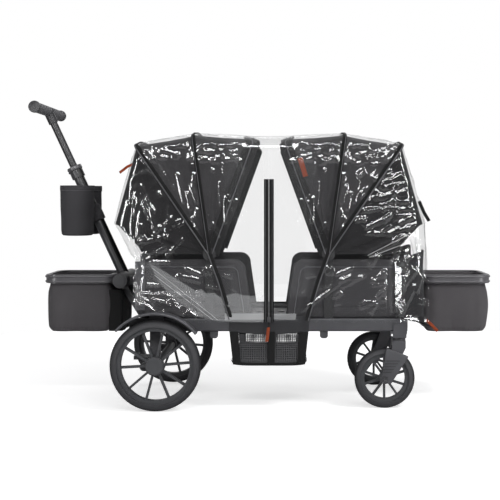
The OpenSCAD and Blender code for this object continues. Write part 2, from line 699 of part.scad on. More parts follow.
// A bow is a flat strip bent over the seat, with an eye at each foot; level counts eyes from the post
module bow(lean, reach, level) {
    w = eye_y + level * (bow_t + gap) + bow_t;
    translate([-hub_x, 0, hub_z]) rotate([0, lean, 0]) difference() {
        union() {
            translate([-bow_w / 2, 0, 0]) rotate([90, 0, 90]) linear_extrude(bow_w) difference() {
                arch_2d(w, bow_corner, reach);
                translate([0, -1]) arch_2d(w - bow_t, bow_corner - bow_t, reach - bow_t + 1);
            }
            both_sides() rod_y(0, 0, eye_r, w - bow_t, w);
        }
        rod_y(0, 0, hub_pin_r + run_c, -w - 1, w + 1);
    }
}
// The cloth clears the bows at the sides and over their tops, and its foot stays above the hub
cloth_t = 1.4;
cloth_foot = 50;
side_clear = 1.1;
top_clear = 2.3;
canopy_edge = eye_y + 3 * (bow_t + gap) + side_clear;
// Rows of a canopy sheet: [lean, reach] of each, with the reach to the outer face of the cloth
module canopy_sheet(rows) {
    sheet([for (q = rows) hub_row(q[0], q[1], canopy_edge + cloth_t, bow_corner, cloth_foot, 0)],
        [for (q = rows) hub_row(q[0], q[1], canopy_edge + cloth_t, bow_corner, cloth_foot, cloth_t)]);
}
cloth_up = top_clear + cloth_t;
// The panel and the tail are sewn to the two edges of the fixed bow
edge_gap = 0.6;
bow_over = 2.6;
tail_reach = 350;
// Below its turn the tail goes down to the seat's end wall
skirt_lean = -89.6;
skirt_reach = 246;
cloth_sag = 3;
// The row half way between two others, on the straight line between their tops, less the sag
function sag_row(p, q) = [(p[0] + q[0]) / 2,
    2 * p[1] * q[1] * cos((q[0] - p[0]) / 2) / (p[1] + q[1]) - cloth_sag];
// Reach at a lean of the straight line through two rows
function line_reach(p, q, lean) = p[1] * q[1] * sin(q[0] - p[0])
    / (p[1] * sin(lean - p[0]) + q[1] * sin(q[0] - lean));
edge_turn = asin((bow_w / 2 + edge_gap) / back_bow_reach);
edge_reach = back_bow_reach - bow_t / 2;
mid_row = [mid_bow_lean, bow_reach + cloth_up];
front_row = [front_bow_lean, bow_reach + cloth_up];
tail_row = [tail_lean, tail_reach];
skirt_row = [skirt_lean, skirt_reach];
back_row = [back_bow_lean + edge_turn, edge_reach];
tail_top_row = [back_bow_lean - edge_turn, edge_reach];
fabric_rows = [back_row, sag_row(back_row, mid_row), mid_row, sag_row(mid_row, front_row), front_row];
tail_rows = [skirt_row, sag_row(skirt_row, tail_row), tail_row, sag_row(tail_row, tail_top_row), tail_top_row];
module rear_canopy_hubs() { color(dark_plastic) place() canopy_hubs(); }
module front_canopy_hubs() { color(dark_plastic) front_half() canopy_hubs(); }
module rear_canopy_back_bow() { color(dark_plastic) place() bow(back_bow_lean, back_bow_reach, 0); }
module front_canopy_back_bow() { color(dark_plastic) front_half() bow(back_bow_lean, back_bow_reach, 0); }
module rear_canopy_mid_bow() { color(dark_plastic) place() bow(mid_bow_lean, bow_reach, 1); }
module front_canopy_mid_bow() { color(dark_plastic) front_half() bow(mid_bow_lean, bow_reach, 1); }
module rear_canopy_front_bow() { color(dark_plastic) place() bow(front_bow_lean, bow_reach, 2); }
module front_canopy_front_bow() { color(dark_plastic) front_half() bow(front_bow_lean, bow_reach, 2); }
module rear_canopy_fabric() { color(fabric_grey) place() canopy_sheet(fabric_rows); }
module front_canopy_fabric() { color(fabric_grey) front_half() canopy_sheet(fabric_rows); }
module rear_canopy_tail() { color(fabric_grey) place() canopy_sheet(tail_rows); }
module front_canopy_tail() { color(fabric_grey) front_half() canopy_sheet(tail_rows); }

// Rain cover: each half has an arched roof strip, which goes down over its end, and two flat sides
corner_slack = 4;
cover_corner = bow_corner + corner_slack;
end_corner = 30;
// How far the end of the roof bows out past the ends of the sides, and its two heights above the basket rim
end_bow = 8;
end_low = 15;
end_high = 60;
// Where the hem rises behind the mudguard, ahead of the rear axle
rise_from = 116;
rise_to = 58;
cover_half = cover_w / 2;
// Reach of the film over the fixed bow, the middle bow, the front bow and the tail
mid_slack = 11;
film_over_mid = bow_reach + mid_slack;
film_over_front = (cover_top_z - hub_z) / cos(front_bow_lean);
tail_slack = 3;
film_over_tail = tail_reach + gap + film_t + tail_slack;
// The line from the tail clears the rear edge of the fixed bow
bow_edge_row = [back_bow_lean - atan(bow_w / 2 / back_bow_reach), back_bow_reach + bow_over + film_t];
film_over_back = line_reach([tail_lean, film_over_tail], bow_edge_row, back_bow_lean);
// A station of the roof: where its corners start, the way up, and its corner radius
function hub_station(a, reach, rc) = let (u = lean_way(a), up = reach - arch_drop(cover_half, rc))
    [[-hub_x + u[0] * up, hub_z + u[1] * up], u, rc];
end_drop = arch_drop(cover_half, end_corner);
function cover_stations(end_x, end_lean) = [
    [[-end_x - end_bow + end_drop, rim_top_z + end_low], [-1, 0], end_corner],
    [[-end_x - end_bow + end_drop, rim_top_z + end_high], [-1, 0], end_corner],
    hub_station(end_lean, film_over_tail, cover_corner),
    hub_station(back_bow_lean, film_over_back, cover_corner),
    hub_station(mid_bow_lean, film_over_mid, cover_corner),
    hub_station(front_bow_lean, film_over_front, cover_corner),
    [[-split, cover_top_z - arch_drop(cover_half, cover_corner)], [0, 1], cover_corner]];
module cover_roof(stations) {
    sheet([for (q = stations) arch_row(q[0], q[1], cover_half, q[2], 0)],
        [for (q = stations) arch_row(q[0], q[1], cover_half - film_t, q[2] - film_t, 0)]);
}
// The bottom edge of a side rises behind the mudguard on the rear half
module cover_sides(stations, end_x, guard) {
    low = guard ? rear_wheel_r + guard_r + 2 : cover_hem_z;
    both_sides() side_plate(cover_half - film_t, film_t)
        polygon(concat([[-split, cover_hem_z], [-rear_axle_back + rise_from, cover_hem_z],
            [-rear_axle_back + rise_to, low], [-end_x, low], [-end_x, rim_top_z + end_low - 5]],
            [for (q = stations) q[0]]));
}
rear_stations = cover_stations(cover_back, tail_lean);
front_stations = cover_stations(cover_ahead, tail_lean);
module rear_cover_roof() { color(film_white) place() cover_roof(rear_stations); }
module front_cover_roof() { color(film_white) front_half() cover_roof(front_stations); }
module rear_cover_sides() { color(film_white) place() cover_sides(rear_stations, cover_back, true); }
module front_cover_sides() { color(film_white) front_half() cover_sides(front_stations, cover_ahead, false); }
// Zip slider on the near side, with its pull tab hanging below
slider_w = 14;
slider_h = 18;
slider_t = 5;
slider_up = 30;
pull_w = 5;
pull_l = 34;
pull_t = 3;
module zip_slider() { color("#B8502A") place()
    translate([0, -cover_half - gap - slider_t, cover_hem_z + slider_up]) {
        block(-slider_w / 2, slider_w / 2, 0, slider_t, 0, slider_h);
        block(-pull_w / 2, pull_w / 2, 0, pull_t, -pull_l, 0);
    } }

// Seats: the rear one is drawn, the front one is the same turned round
wall_short = 24;
wall_end = cover_back - wall_short;
// The edge of a side wall slants in to the rail, and its upper corner is round
wall_slant = 18;
wall_round = 40;
round_x = wall_edge_x + wall_round + 10;
module seat_walls() {
    both_sides() side_plate(wall_y, wall_t) {
        polygon([[-wall_end, rail_top], [-wall_edge_x + wall_slant, rail_top],
            [-wall_edge_x, wall_top_z - 2 * wall_round], [-wall_edge_x - wall_slant, wall_top_z - wall_round],
            [-round_x, wall_top_z], [-wall_end, wall_top_z]]);
        translate([-round_x, wall_top_z - wall_round]) circle(wall_round);
    }
    block(-end_frame_x + tube_r + gap, -end_frame_x + tube_r + wall_t, -wall_y + gap, wall_y - gap,
        floor_top, wall_top_z);
}
back_face = -end_frame_x + tube_r + wall_t + seat_c;
// The cushion ends short of the walls' edges, and stays clear of the walls
cushion_short = 40;
cushion_side = 10;
cushion_l = -wall_edge_x - cushion_short - back_face;
cushion_w = 2 * (wall_y - cushion_side);
backrest_side = 15;
backrest_w = cushion_w - 2 * backrest_side;
backrest_up = 4;
cushion_pull = 0.015;
cushion_x = back_face + cushion_l / 2;
module seat_cushion() { translate([cushion_x, 0, floor_top + seat_c])
    pad(cushion_l, cushion_w, cushion_h, cushion_pull); }
module backrest() { translate([back_face, 0, floor_top + cushion_h + backrest_up + back_h / 2])
    rotate([0, 90, 0]) pad(back_h, backrest_w, back_t, cushion_pull); }
strap_x = cushion_x + cushion_l / 2 * (1 - cushion_pull) + seat_c;
// Strap down the front of the cushion, with the buckle at its foot
strap_w = 40;
strap_t = 3;
strap_low = 14;
strap_top = 18;
buckle_w = 48;
buckle_h = 34;
buckle_t = 14;
buckle_low = 10;
module harness() {
    block(strap_x, strap_x + strap_t, -strap_w / 2, strap_w / 2, floor_top + strap_low,
        floor_top + cushion_h - strap_top);
    block(strap_x, strap_x + buckle_t, -buckle_w / 2, buckle_w / 2, floor_top + buckle_low,
        floor_top + buckle_low + buckle_h);
}
module rear_seat_walls() { color(fabric_grey) place() seat_walls(); }
module front_seat_walls() { color(fabric_grey) front_half() seat_walls(); }
module rear_seat_cushion() { color(fabric_grey) place() seat_cushion(); }
module front_seat_cushion() { color(fabric_grey) front_half() seat_cushion(); }
module rear_backrest() { color(fabric_grey) place() backrest(); }
module front_backrest() { color(fabric_grey) front_half() backrest(); }
module rear_harness() { color(dark_plastic) place() harness(); }
module front_harness() { color(dark_plastic) front_half() harness(); }

// Baskets: x is the end nearest the wagon, and the rim runs away from it towards -X
rim_corner = 45;
bag_corner = 30;
// The bag's edge ends below the top of the rim
bag_below = 4;
module basket_rim(x) { translate([x - basket_l / 2, 0, rim_top_z - rim_sec_h]) linear_extrude(rim_sec_h)
    difference() {
        round_rect(basket_l, basket_w, rim_corner);
        round_rect(basket_l - 2 * rim_sec_w, basket_w - 2 * rim_sec_w, rim_corner - rim_sec_w);
    } }
// Gap in the rear basket's inner side, for the handle to lean back through
notch_side = 10;
notch_half = lower_r + notch_side;
module handle_notch() { block(rear_basket_at - rim_sec_w - 8, rear_basket_at + 1, -notch_half, notch_half,
    rim_top_z - rim_sec_h - 1, rim_top_z + 1); }
bag_l = basket_l - 2 * rim_sec_w - 2 * seat_c;
bag_w = basket_w - 2 * rim_sec_w - 2 * seat_c;
module basket_bag(x) { translate([x - basket_l / 2, 0, rim_top_z - rim_sec_h - bag_depth]) difference() {
    linear_extrude(bag_depth + rim_sec_h - bag_below) round_rect(bag_l, bag_w, bag_corner);
    translate([0, 0, bag_t]) linear_extrude(bag_depth + rim_sec_h)
        round_rect(bag_l - 2 * bag_t, bag_w - 2 * bag_t, bag_corner - bag_t);
} }
rear_basket_at = -pivot_back - knuckle_r - gap;
module rear_basket_rim() { color(trim_grey) place() difference() {
    basket_rim(rear_basket_at);
    handle_notch();
} }
module rear_basket_bag() { color(fabric_grey) place() difference() {
    basket_bag(rear_basket_at);
    handle_notch();
} }
module front_basket_rim() { color(trim_grey) front_half() basket_rim(-front_basket_x); }
module front_basket_bag() { color(fabric_grey) front_half() basket_bag(-front_basket_x); }

// Under-basket of mesh, with hems that reach up over the outer faces of the rails
mesh_t = 2;
under_y = rail_out + seat_c + mesh_t;
under_drop = 8;
hem_up = 8;
under_end_z = rail_z - under_drop;
module under_basket() { color(fabric_grey) place() {
    difference() {
        block(-under_l / 2, under_l / 2, -under_y, under_y, under_z, under_end_z);
        block(-under_l / 2 + mesh_t, under_l / 2 - mesh_t, -under_y + mesh_t, under_y - mesh_t,
            under_z + mesh_t, rail_top);
    }
    both_sides() block(-under_l / 2, under_l / 2, under_y - mesh_t, under_y, under_end_z - 1,
        rail_top + hem_up);
} }

rear_side_rails();
rear_frame_tubes();
rear_floor_board();
rear_axle();
mudguards();
handle_bracket();
handle_pivot_pin();
fold_hinge_pins();
rear_canopy_hubs();
rear_canopy_back_bow();
rear_canopy_tail();
rear_seat_walls();
rear_seat_cushion();
rear_backrest();
rear_harness();
rear_cover_roof();
rear_cover_sides();
rear_basket_rim();
rear_basket_bag();
under_basket();
front_side_rails();
front_frame_tubes();
front_floor_board();
caster_heads();
front_canopy_hubs();
front_canopy_back_bow();
front_canopy_tail();
front_seat_walls();
front_seat_cushion();
front_backrest();
front_harness();
front_cover_roof();
front_cover_sides();
front_basket_rim();
front_basket_bag();
handle_lower_tube();
handle_lock_button();
cup_caddy();
handle_upper_tube();
handle_crossbar();
grip_foam();
grip_end_caps();
rear_tyre_right();
rear_rim_right();
rear_tyre_left();
rear_rim_left();
front_tyre_right();
front_rim_right();
front_tyre_left();
front_rim_left();
caster_fork_right();
caster_fork_left();
rear_canopy_mid_bow();
rear_canopy_front_bow();
front_canopy_mid_bow();
front_canopy_front_bow();
rear_canopy_fabric();
front_canopy_fabric();
brake_bar();
zip_slider();
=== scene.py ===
import math

import bpy
import numpy as np
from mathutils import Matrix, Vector


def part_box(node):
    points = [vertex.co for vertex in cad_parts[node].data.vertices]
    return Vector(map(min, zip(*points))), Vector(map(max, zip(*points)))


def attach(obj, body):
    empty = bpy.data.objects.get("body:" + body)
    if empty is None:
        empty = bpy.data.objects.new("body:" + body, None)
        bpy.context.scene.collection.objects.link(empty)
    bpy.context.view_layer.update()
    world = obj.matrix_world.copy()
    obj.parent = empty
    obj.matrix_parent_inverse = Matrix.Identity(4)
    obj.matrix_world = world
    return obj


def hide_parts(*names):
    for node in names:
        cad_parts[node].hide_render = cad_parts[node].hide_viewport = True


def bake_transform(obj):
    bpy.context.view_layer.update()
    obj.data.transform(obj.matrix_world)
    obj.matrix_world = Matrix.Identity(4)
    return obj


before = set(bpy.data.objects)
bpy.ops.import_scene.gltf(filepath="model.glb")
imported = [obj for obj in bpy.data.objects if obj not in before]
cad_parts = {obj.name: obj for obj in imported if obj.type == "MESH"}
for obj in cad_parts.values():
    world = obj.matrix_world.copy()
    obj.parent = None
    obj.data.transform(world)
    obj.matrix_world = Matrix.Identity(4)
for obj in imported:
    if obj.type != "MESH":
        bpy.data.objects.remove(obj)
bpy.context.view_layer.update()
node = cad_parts

# Studio: a pale round floor and a white backdrop that the camera, gloss and clear film see.
# Soft lamps light the wagon: a key from the upper right, a long box above the front, a strip on each side.
# Cards above the camera, at its sides and behind show only in gloss, where the clear film mirrors them.
scene = bpy.context.scene
scene.view_settings.view_transform = "Standard"


def shader_node(tree, kind, inputs=None, **settings):
    """Adds a shader node, gives it its settings, and sets or links its sockets."""
    made = tree.nodes.new(kind)
    for key, value in settings.items():
        setattr(made, key, value)
    for key, value in (inputs or {}).items():
        if isinstance(value, bpy.types.NodeSocket):
            tree.links.new(value, made.inputs[key])
        else:
            made.inputs[key].default_value = value
    return made


def math_node(tree, operation, *values):
    """The result of a maths node on numbers or sockets."""
    return shader_node(tree, "ShaderNodeMath", dict(enumerate(values)), operation=operation).outputs[0]


air_world = bpy.data.worlds.new("studio_air")
air_world.use_nodes = True
scene.world = air_world
air = air_world.node_tree
air.nodes.clear()
air_place = shader_node(air, "ShaderNodeTexCoord").outputs["Generated"]
air_way = shader_node(air, "ShaderNodeSeparateXYZ", {0: air_place}).outputs
air_glow = shader_node(air, "ShaderNodeValToRGB", {0: air_way["Z"]})
air_glow.color_ramp.elements[0].color = (0.13, 0.13, 0.135, 1)
air_glow.color_ramp.elements[1].color = (0.30, 0.30, 0.305, 1)
air_soft = shader_node(air, "ShaderNodeBackground", {"Color": air_glow.outputs["Color"]})
air_white = shader_node(air, "ShaderNodeBackground", {"Color": (1, 1, 1, 1)})
air_behind = shader_node(air, "ShaderNodeMapRange", {"Value": air_way["Y"], "From Min": 0.0, "From Max": 0.4})
air_ray = shader_node(air, "ShaderNodeLightPath").outputs
air_dim = math_node(air, "MULTIPLY", air_ray["Is Glossy Ray"], 0.35)
air_gloss = math_node(air, "MULTIPLY", air_dim, air_behind.outputs[0])
air_seen = math_node(air, "MAXIMUM", air_ray["Is Camera Ray"], air_ray["Is Transmission Ray"])
air_mix = shader_node(air, "ShaderNodeMixShader", {
    0: math_node(air, "MAXIMUM", air_seen, air_gloss), 1: air_soft.outputs[0], 2: air_white.outputs[0]})
shader_node(air, "ShaderNodeOutputWorld", {"Surface": air_mix.outputs[0]})

bpy.ops.object.select_all(action="DESELECT")
bpy.ops.mesh.primitive_circle_add(vertices=128, radius=2.3, fill_type="NGON", location=(0, 0, 0))
floor = bpy.context.object
floor.name = "studio_floor"
floor_paper = bpy.data.materials.new("floor_paper")
floor_paper.use_nodes = True
paper = floor_paper.node_tree
paper.nodes.clear()
paper_matt = shader_node(paper, "ShaderNodeBsdfDiffuse", {"Color": (0.86, 0.86, 0.86, 1)})
paper_lift = shader_node(paper, "ShaderNodeEmission", {"Color": (1, 1, 1, 1), "Strength": 0.66})
paper_seen = shader_node(paper, "ShaderNodeAddShader", {0: paper_matt.outputs[0], 1: paper_lift.outputs[0]})
paper_mix = shader_node(paper, "ShaderNodeMixShader", {
    0: shader_node(paper, "ShaderNodeLightPath").outputs["Is Camera Ray"],
    1: paper_matt.outputs[0], 2: paper_seen.outputs[0]})
shader_node(paper, "ShaderNodeOutputMaterial", {"Surface": paper_mix.outputs[0]})
floor.data.materials.append(floor_paper)


def soft_lamp(name, place, target, width, height, watts):
    """An oblong area lamp at a place, turned to a target."""
    bpy.ops.object.light_add(type="AREA", location=place)
    lamp = bpy.context.object
    lamp.name = name
    lamp.data.shape = "RECTANGLE"
    lamp.data.size = width
    lamp.data.size_y = height
    lamp.data.energy = watts
    lamp.rotation_euler = (Vector(target) - Vector(place)).to_track_quat("-Z", "Y").to_euler()
    return lamp


soft_lamp("key_lamp", (2.3, -1.9, 3.1), (0, 0, 0.4), 0.8, 0.8, 50)
soft_lamp("front_box", (0.1, -3.3, 2.5), (0, 0, 0.6), 2.6, 0.24, 36)
soft_lamp("right_strip", (2.7, -2.9, 0.95), (0.2, 0, 0.6), 0.16, 1.5, 13)
soft_lamp("back_box", (0.0, 3.4, 2.3), (0, 0, 0.5), 2.6, 0.5, 26).visible_glossy = False
soft_lamp("left_strip", (-2.9, -2.7, 0.95), (-0.2, 0, 0.6), 0.16, 1.5, 11)
for card, place, width, height, watts in (
        ("gloss_card", (0.0, -3.5, 2.2), 3.2, 0.6, 118),
        ("gloss_card_right", (2.6, -2.8, 1.0), 0.8, 1.9, 95),
        ("gloss_card_left", (-2.6, -2.8, 1.0), 0.8, 1.9, 95),
        ("gloss_card_back", (0.0, 3.6, 2.1), 3.2, 0.5, 16)):
    soft_lamp(card, place, (0, 0, 0.6), width, height, watts).visible_diffuse = False

bpy.ops.object.camera_add(location=(0.087, -4.165, 0.714), rotation=(math.radians(90), 0, 0))
camera = bpy.context.object
camera.data.lens = 83.4
camera.data.sensor_width = 36
camera.data.shift_x = -0.076
camera.data.shift_y = -0.106
scene.camera = camera


# Frame: oval steel rails, end frames and cross tubes, powder coated in charcoal with a fine sandy grain.
# The legs, axle and caster heads have the same coat; the hinge pins and the lock button are bare steel.
# The floor boards, bracket, brake and bows are moulded or coated in black, the forks and mudguards in grey.
def linear(web):
    """A web colour as the linear RGBA that shaders take."""
    shares = [int(web[i:i + 2], 16) / 255 for i in (1, 3, 5)]
    return tuple(v / 12.92 if v <= 0.04045 else ((v + 0.055) / 1.055) ** 2.4 for v in shares) + (1.0,)


def new_finish(name):
    """A new material, its tree of nodes and its main shader."""
    finish = bpy.data.materials.new(name)
    finish.use_nodes = True
    return finish, finish.node_tree, finish.node_tree.nodes["Principled BSDF"]


def two_tone(tree, share, *tones):
    """The colour a share of the way between two tones, each a web colour or a socket."""
    dark, light = [linear(tone) if isinstance(tone, str) else tone for tone in tones]
    return shader_node(tree, "ShaderNodeMix", {0: share, 6: dark, 7: light}, data_type="RGBA").outputs[2]


def hard_finish(name, dark, light, rough, grain=1500, patch=9, relief=0.25, metal=0.0):
    """A coated or moulded surface: two close tones in soft patches, with a grain in its relief and gloss."""
    finish, tree, skin = new_finish(name)
    place = shader_node(tree, "ShaderNodeTexCoord").outputs["Object"]
    patches = shader_node(tree, "ShaderNodeTexNoise", {"Vector": place, "Scale": patch, "Detail": 4.0})
    grains = shader_node(tree, "ShaderNodeTexNoise", {
        "Vector": place, "Scale": grain, "Detail": 2.0}).outputs["Fac"]
    share = shader_node(tree, "ShaderNodeMapRange", {
        "Value": patches.outputs["Fac"], "From Min": 0.3, "From Max": 0.7})
    gloss = shader_node(tree, "ShaderNodeMapRange", {
        "Value": grains, "From Min": 0.25, "From Max": 0.75, "To Min": rough - 0.07, "To Max": rough + 0.09})
    bump = shader_node(tree, "ShaderNodeBump", {"Height": grains, "Strength": relief, "Distance": 0.0006})
    tree.links.new(two_tone(tree, share.outputs[0], dark, light), skin.inputs["Base Color"])
    tree.links.new(gloss.outputs[0], skin.inputs["Roughness"])
    tree.links.new(bump.outputs[0], skin.inputs["Normal"])
    skin.inputs["Metallic"].default_value = metal
    skin.inputs["Specular IOR Level"].default_value = 0.5 if metal else 0.28
    return finish


def dress(finish, *names):
    """Gives CAD nodes their finish."""
    for name in names:
        for spot in node[name].material_slots:
            spot.material = finish
        if not node[name].material_slots:
            node[name].data.materials.append(finish)


charcoal_coat = hard_finish("charcoal_coat", "#434347", "#4F4F53", 0.42, grain=1700)
dress(charcoal_coat, "rear_side_rails", "front_side_rails", "rear_frame_tubes", "front_frame_tubes",
      "rear_axle", "caster_heads")
bare_steel = hard_finish("bare_steel", "#8E9094", "#A6A8AC", 0.28, grain=900, relief=0.08, metal=1.0)
dress(bare_steel, "fold_hinge_pins")
moulded_black = hard_finish("moulded_black", "#333336", "#3E3E41", 0.46, grain=1100, relief=0.3)
dress(moulded_black, "handle_pivot_pin", "rear_floor_board", "front_floor_board", "handle_bracket",
      "brake_bar", "rear_canopy_back_bow", "front_canopy_back_bow", "rear_canopy_mid_bow",
      "front_canopy_mid_bow", "rear_canopy_front_bow", "front_canopy_front_bow")
hub_black = hard_finish("hub_black", "#1A1A1C", "#242426", 0.5, grain=1100)
dress(hub_black, "rear_canopy_hubs", "front_canopy_hubs")
fork_grey = hard_finish("fork_grey", "#4C4C50", "#5A5A5E", 0.4, grain=1100, relief=0.25)
dress(fork_grey, "caster_fork_right", "caster_fork_left", "mudguards")

# Wheels: foam-filled tyres in dark rubber on moulded spoked rims.
# The tread is nearly black and scuffed; the side wall is a grey matt band.
BODY_X = 0.022964
REAR_AXLE = (-0.378, 0.1525)
FRONT_AXLE = (0.391, 0.102)


def tyre_rubber(name, axle, wall_r, tread_r):
    """Rubber that is grey on the side wall and black on the tread, with chevron grooves round the wheel."""
    rubber, tree, skin = new_finish(name)
    place = shader_node(tree, "ShaderNodeMapping", {
        "Vector": shader_node(tree, "ShaderNodeTexCoord").outputs["Object"],
        "Location": (-BODY_X - axle[0], 0, -axle[1])}).outputs[0]
    part = shader_node(tree, "ShaderNodeSeparateXYZ", {0: place}).outputs
    flat = shader_node(tree, "ShaderNodeCombineXYZ", {"X": part["X"], "Z": part["Z"]})
    reach = shader_node(tree, "ShaderNodeVectorMath", {0: flat.outputs[0]}, operation="LENGTH")
    tread = shader_node(tree, "ShaderNodeMapRange", {
        "Value": reach.outputs["Value"], "From Min": wall_r, "From Max": tread_r}).outputs[0]
    scuff = shader_node(tree, "ShaderNodeTexNoise", {
        "Vector": place, "Scale": 260.0, "Detail": 5.0}).outputs["Fac"]
    wall_tone = two_tone(tree, scuff, "#38383B", "#444447")
    tread_tone = two_tone(tree, scuff, "#1D1D1F", "#343437")
    tone = two_tone(tree, tread, wall_tone, tread_tone)
    wave = math_node(tree, "MULTIPLY", math_node(tree, "ARCTAN2", part["Z"], part["X"]), 90.0)
    slant = math_node(tree, "MULTIPLY_ADD", math_node(tree, "ABSOLUTE", part["Y"]), 260.0, wave)
    depth = math_node(tree, "MULTIPLY", math_node(tree, "SINE", slant), tread)
    rough = math_node(tree, "MULTIPLY_ADD", depth, 0.35, scuff)
    bump = shader_node(tree, "ShaderNodeBump", {"Height": rough, "Strength": 0.5, "Distance": 0.0012})
    tree.links.new(tone, skin.inputs["Base Color"])
    tree.links.new(bump.outputs[0], skin.inputs["Normal"])
    skin.inputs["Roughness"].default_value = 0.62
    skin.inputs["Specular IOR Level"].default_value = 0.2
    return rubber


dress(tyre_rubber("rear_tyre_rubber", REAR_AXLE, 0.144, 0.149), "rear_tyre_right", "rear_tyre_left")
dress(tyre_rubber("front_tyre_rubber", FRONT_AXLE, 0.095, 0.099), "front_tyre_right", "front_tyre_left")
rim_plastic = hard_finish("rim_plastic", "#3F4043", "#4B4C4F", 0.44, grain=1300, relief=0.2)
dress(rim_plastic, "rear_rim_right", "rear_rim_left", "front_rim_right", "front_rim_left")

# Push handle: a wide lower tube with a near-black stripe along its front, painted shade of a slot there, and
# a thinner tube that slides in it.
# A cross bar joins the top. The grip is closed-cell foam with a mottled skin, between moulded end caps.
HANDLE_LEAN = math.radians(25)
PIVOT = np.array([BODY_X - 0.519, 0, 0.423])
TUBE_WAY = np.array([-math.sin(HANDLE_LEAN), 0, math.cos(HANDLE_LEAN)])
TUBE_FRONT = np.array([math.cos(HANDLE_LEAN), 0, math.sin(HANDLE_LEAN)])
dress(hard_finish("tube_satin", "#262628", "#323235", 0.36, grain=1900, relief=0.12), "handle_upper_tube")
# The lower tube's near-black front stripe is painted shade: it stands for a slot that has no geometry.
tube_painted_slot = hard_finish("tube_painted_slot", "#48484B", "#525255", 0.38, grain=1900, relief=0.12)
slot_shade_tree = tube_painted_slot.node_tree
slot_shade_skin = slot_shade_tree.nodes["Principled BSDF"]
slot_shade_place = shader_node(slot_shade_tree, "ShaderNodeTexCoord").outputs["Object"]
slot_shade_reach = shader_node(slot_shade_tree, "ShaderNodeVectorMath", {0: slot_shade_place, 1: tuple(TUBE_FRONT)},
                          operation="DOT_PRODUCT")
slot_shade_edge = float(PIVOT @ TUBE_FRONT) + 0.0058
slot_shade_share = shader_node(slot_shade_tree, "ShaderNodeMapRange", {
    "Value": slot_shade_reach.outputs["Value"], "From Min": slot_shade_edge, "From Max": slot_shade_edge + 0.0008})
tube_tone = slot_shade_skin.inputs["Base Color"].links[0].from_socket
slot_shade_tone = two_tone(slot_shade_tree, slot_shade_share.outputs[0], tube_tone, "#121213")
slot_shade_tree.links.new(slot_shade_tone, slot_shade_skin.inputs["Base Color"])
dress(tube_painted_slot, "handle_lower_tube")
dress(moulded_black, "handle_crossbar", "grip_end_caps")
dress(bare_steel, "handle_lock_button")
dress(hard_finish("grip_skin", "#505053", "#7A7A7D", 0.8, grain=700, patch=420, relief=0.7), "grip_foam")

# Canopies: two folding hoods of heathered polyester, each sewn from a back and a front panel over three bows.
# A short tail closes each hood behind its fixed bow, and a thick black hem covers the front bow.
ENDS = (("rear", -1, "chassis"), ("front", 1, "front_frame"))
SIDES = (("right", -1), ("left", 1))
HUB_X = 0.200
HUB_Z = 0.522
CROWN = math.radians(8)
BACK_LEAN = -34.0
MID_LEAN = -8.0
FRONT_LEAN = 20.0
TAIL_LEAN = -72.0


def unit(vectors):
    """Vectors of length one."""
    return vectors / np.linalg.norm(vectors, axis=-1)[..., None]


def spread(x, y, z):
    """Points from three coordinates that are spread over the same rows and columns."""
    return np.stack(np.broadcast_arrays(x, y, z), axis=-1)


def run_along(path):
    """How far each point of a path lies from its start, along it."""
    return np.concatenate([[0], np.cumsum(np.linalg.norm(np.diff(path, axis=0), axis=1))])


def even_points(path, count):
    """Evenly spaced points along a path."""
    run = run_along(path)
    even = np.linspace(0, run[-1], count)
    return np.stack([np.interp(even, run, line) for line in path.T], axis=1)


def arch_line(half, corner, top, foot, count):
    """(Y, height) along a bow from its right foot over the crown to its left foot, evenly spaced."""
    start = top - corner - (half - corner) * math.tan(CROWN / 2)
    bend = np.linspace(0, math.pi / 2 - CROWN, 40)
    crown_r = corner + (half - corner) / math.sin(CROWN)
    sweep = np.linspace(-CROWN, 0, 40)[1:]
    y = np.concatenate([[-half], -(half - corner) - corner * np.cos(bend), crown_r * np.sin(sweep)])
    h = np.concatenate([[foot], start + corner * np.sin(bend),
                        start - (half - corner) / math.tan(CROWN) + crown_r * np.cos(sweep)])
    right = np.stack([y, h], axis=1)
    return even_points(np.concatenate([right, right[-2::-1] * [-1, 1]]), count).T


def chord(p, q, lean):
    """Reach, at leans between two rows of (lean, reach), of the straight line between them."""
    turn = np.radians(lean)
    a, b = math.radians(p[0]), math.radians(q[0])
    return p[1] * q[1] * math.sin(b - a) / (p[1] * np.sin(turn - a) + q[1] * np.sin(b - turn))


def fold_noise(x, y, seed):
    """Smooth random heights from 0 to 1 with a peak about every unit."""
    table = np.random.default_rng(seed).random((64, 64))
    i = np.floor(x).astype(int)
    j = np.floor(y).astype(int)
    fx = (x - i) ** 2 * (3 - 2 * (x - i))
    fy = (y - j) ** 2 * (3 - 2 * (y - j))
    low = table[i % 64, j % 64] * (1 - fx) + table[(i + 1) % 64, j % 64] * fx
    high = table[i % 64, (j + 1) % 64] * (1 - fx) + table[(i + 1) % 64, (j + 1) % 64] * fx
    return low * (1 - fy) + high * fy


def smooth_step(x, low, high):
    """0 below low, 1 above high, smooth between."""
    t = np.clip((x - low) / (high - low), 0, 1)
    return t * t * (3 - 2 * t)


def mesh_points(mesh):
    """The places of a mesh's points."""
    spots = np.empty(len(mesh.vertices) * 3)
    mesh.vertices.foreach_get("co", spots)
    return spots.reshape(-1, 3)


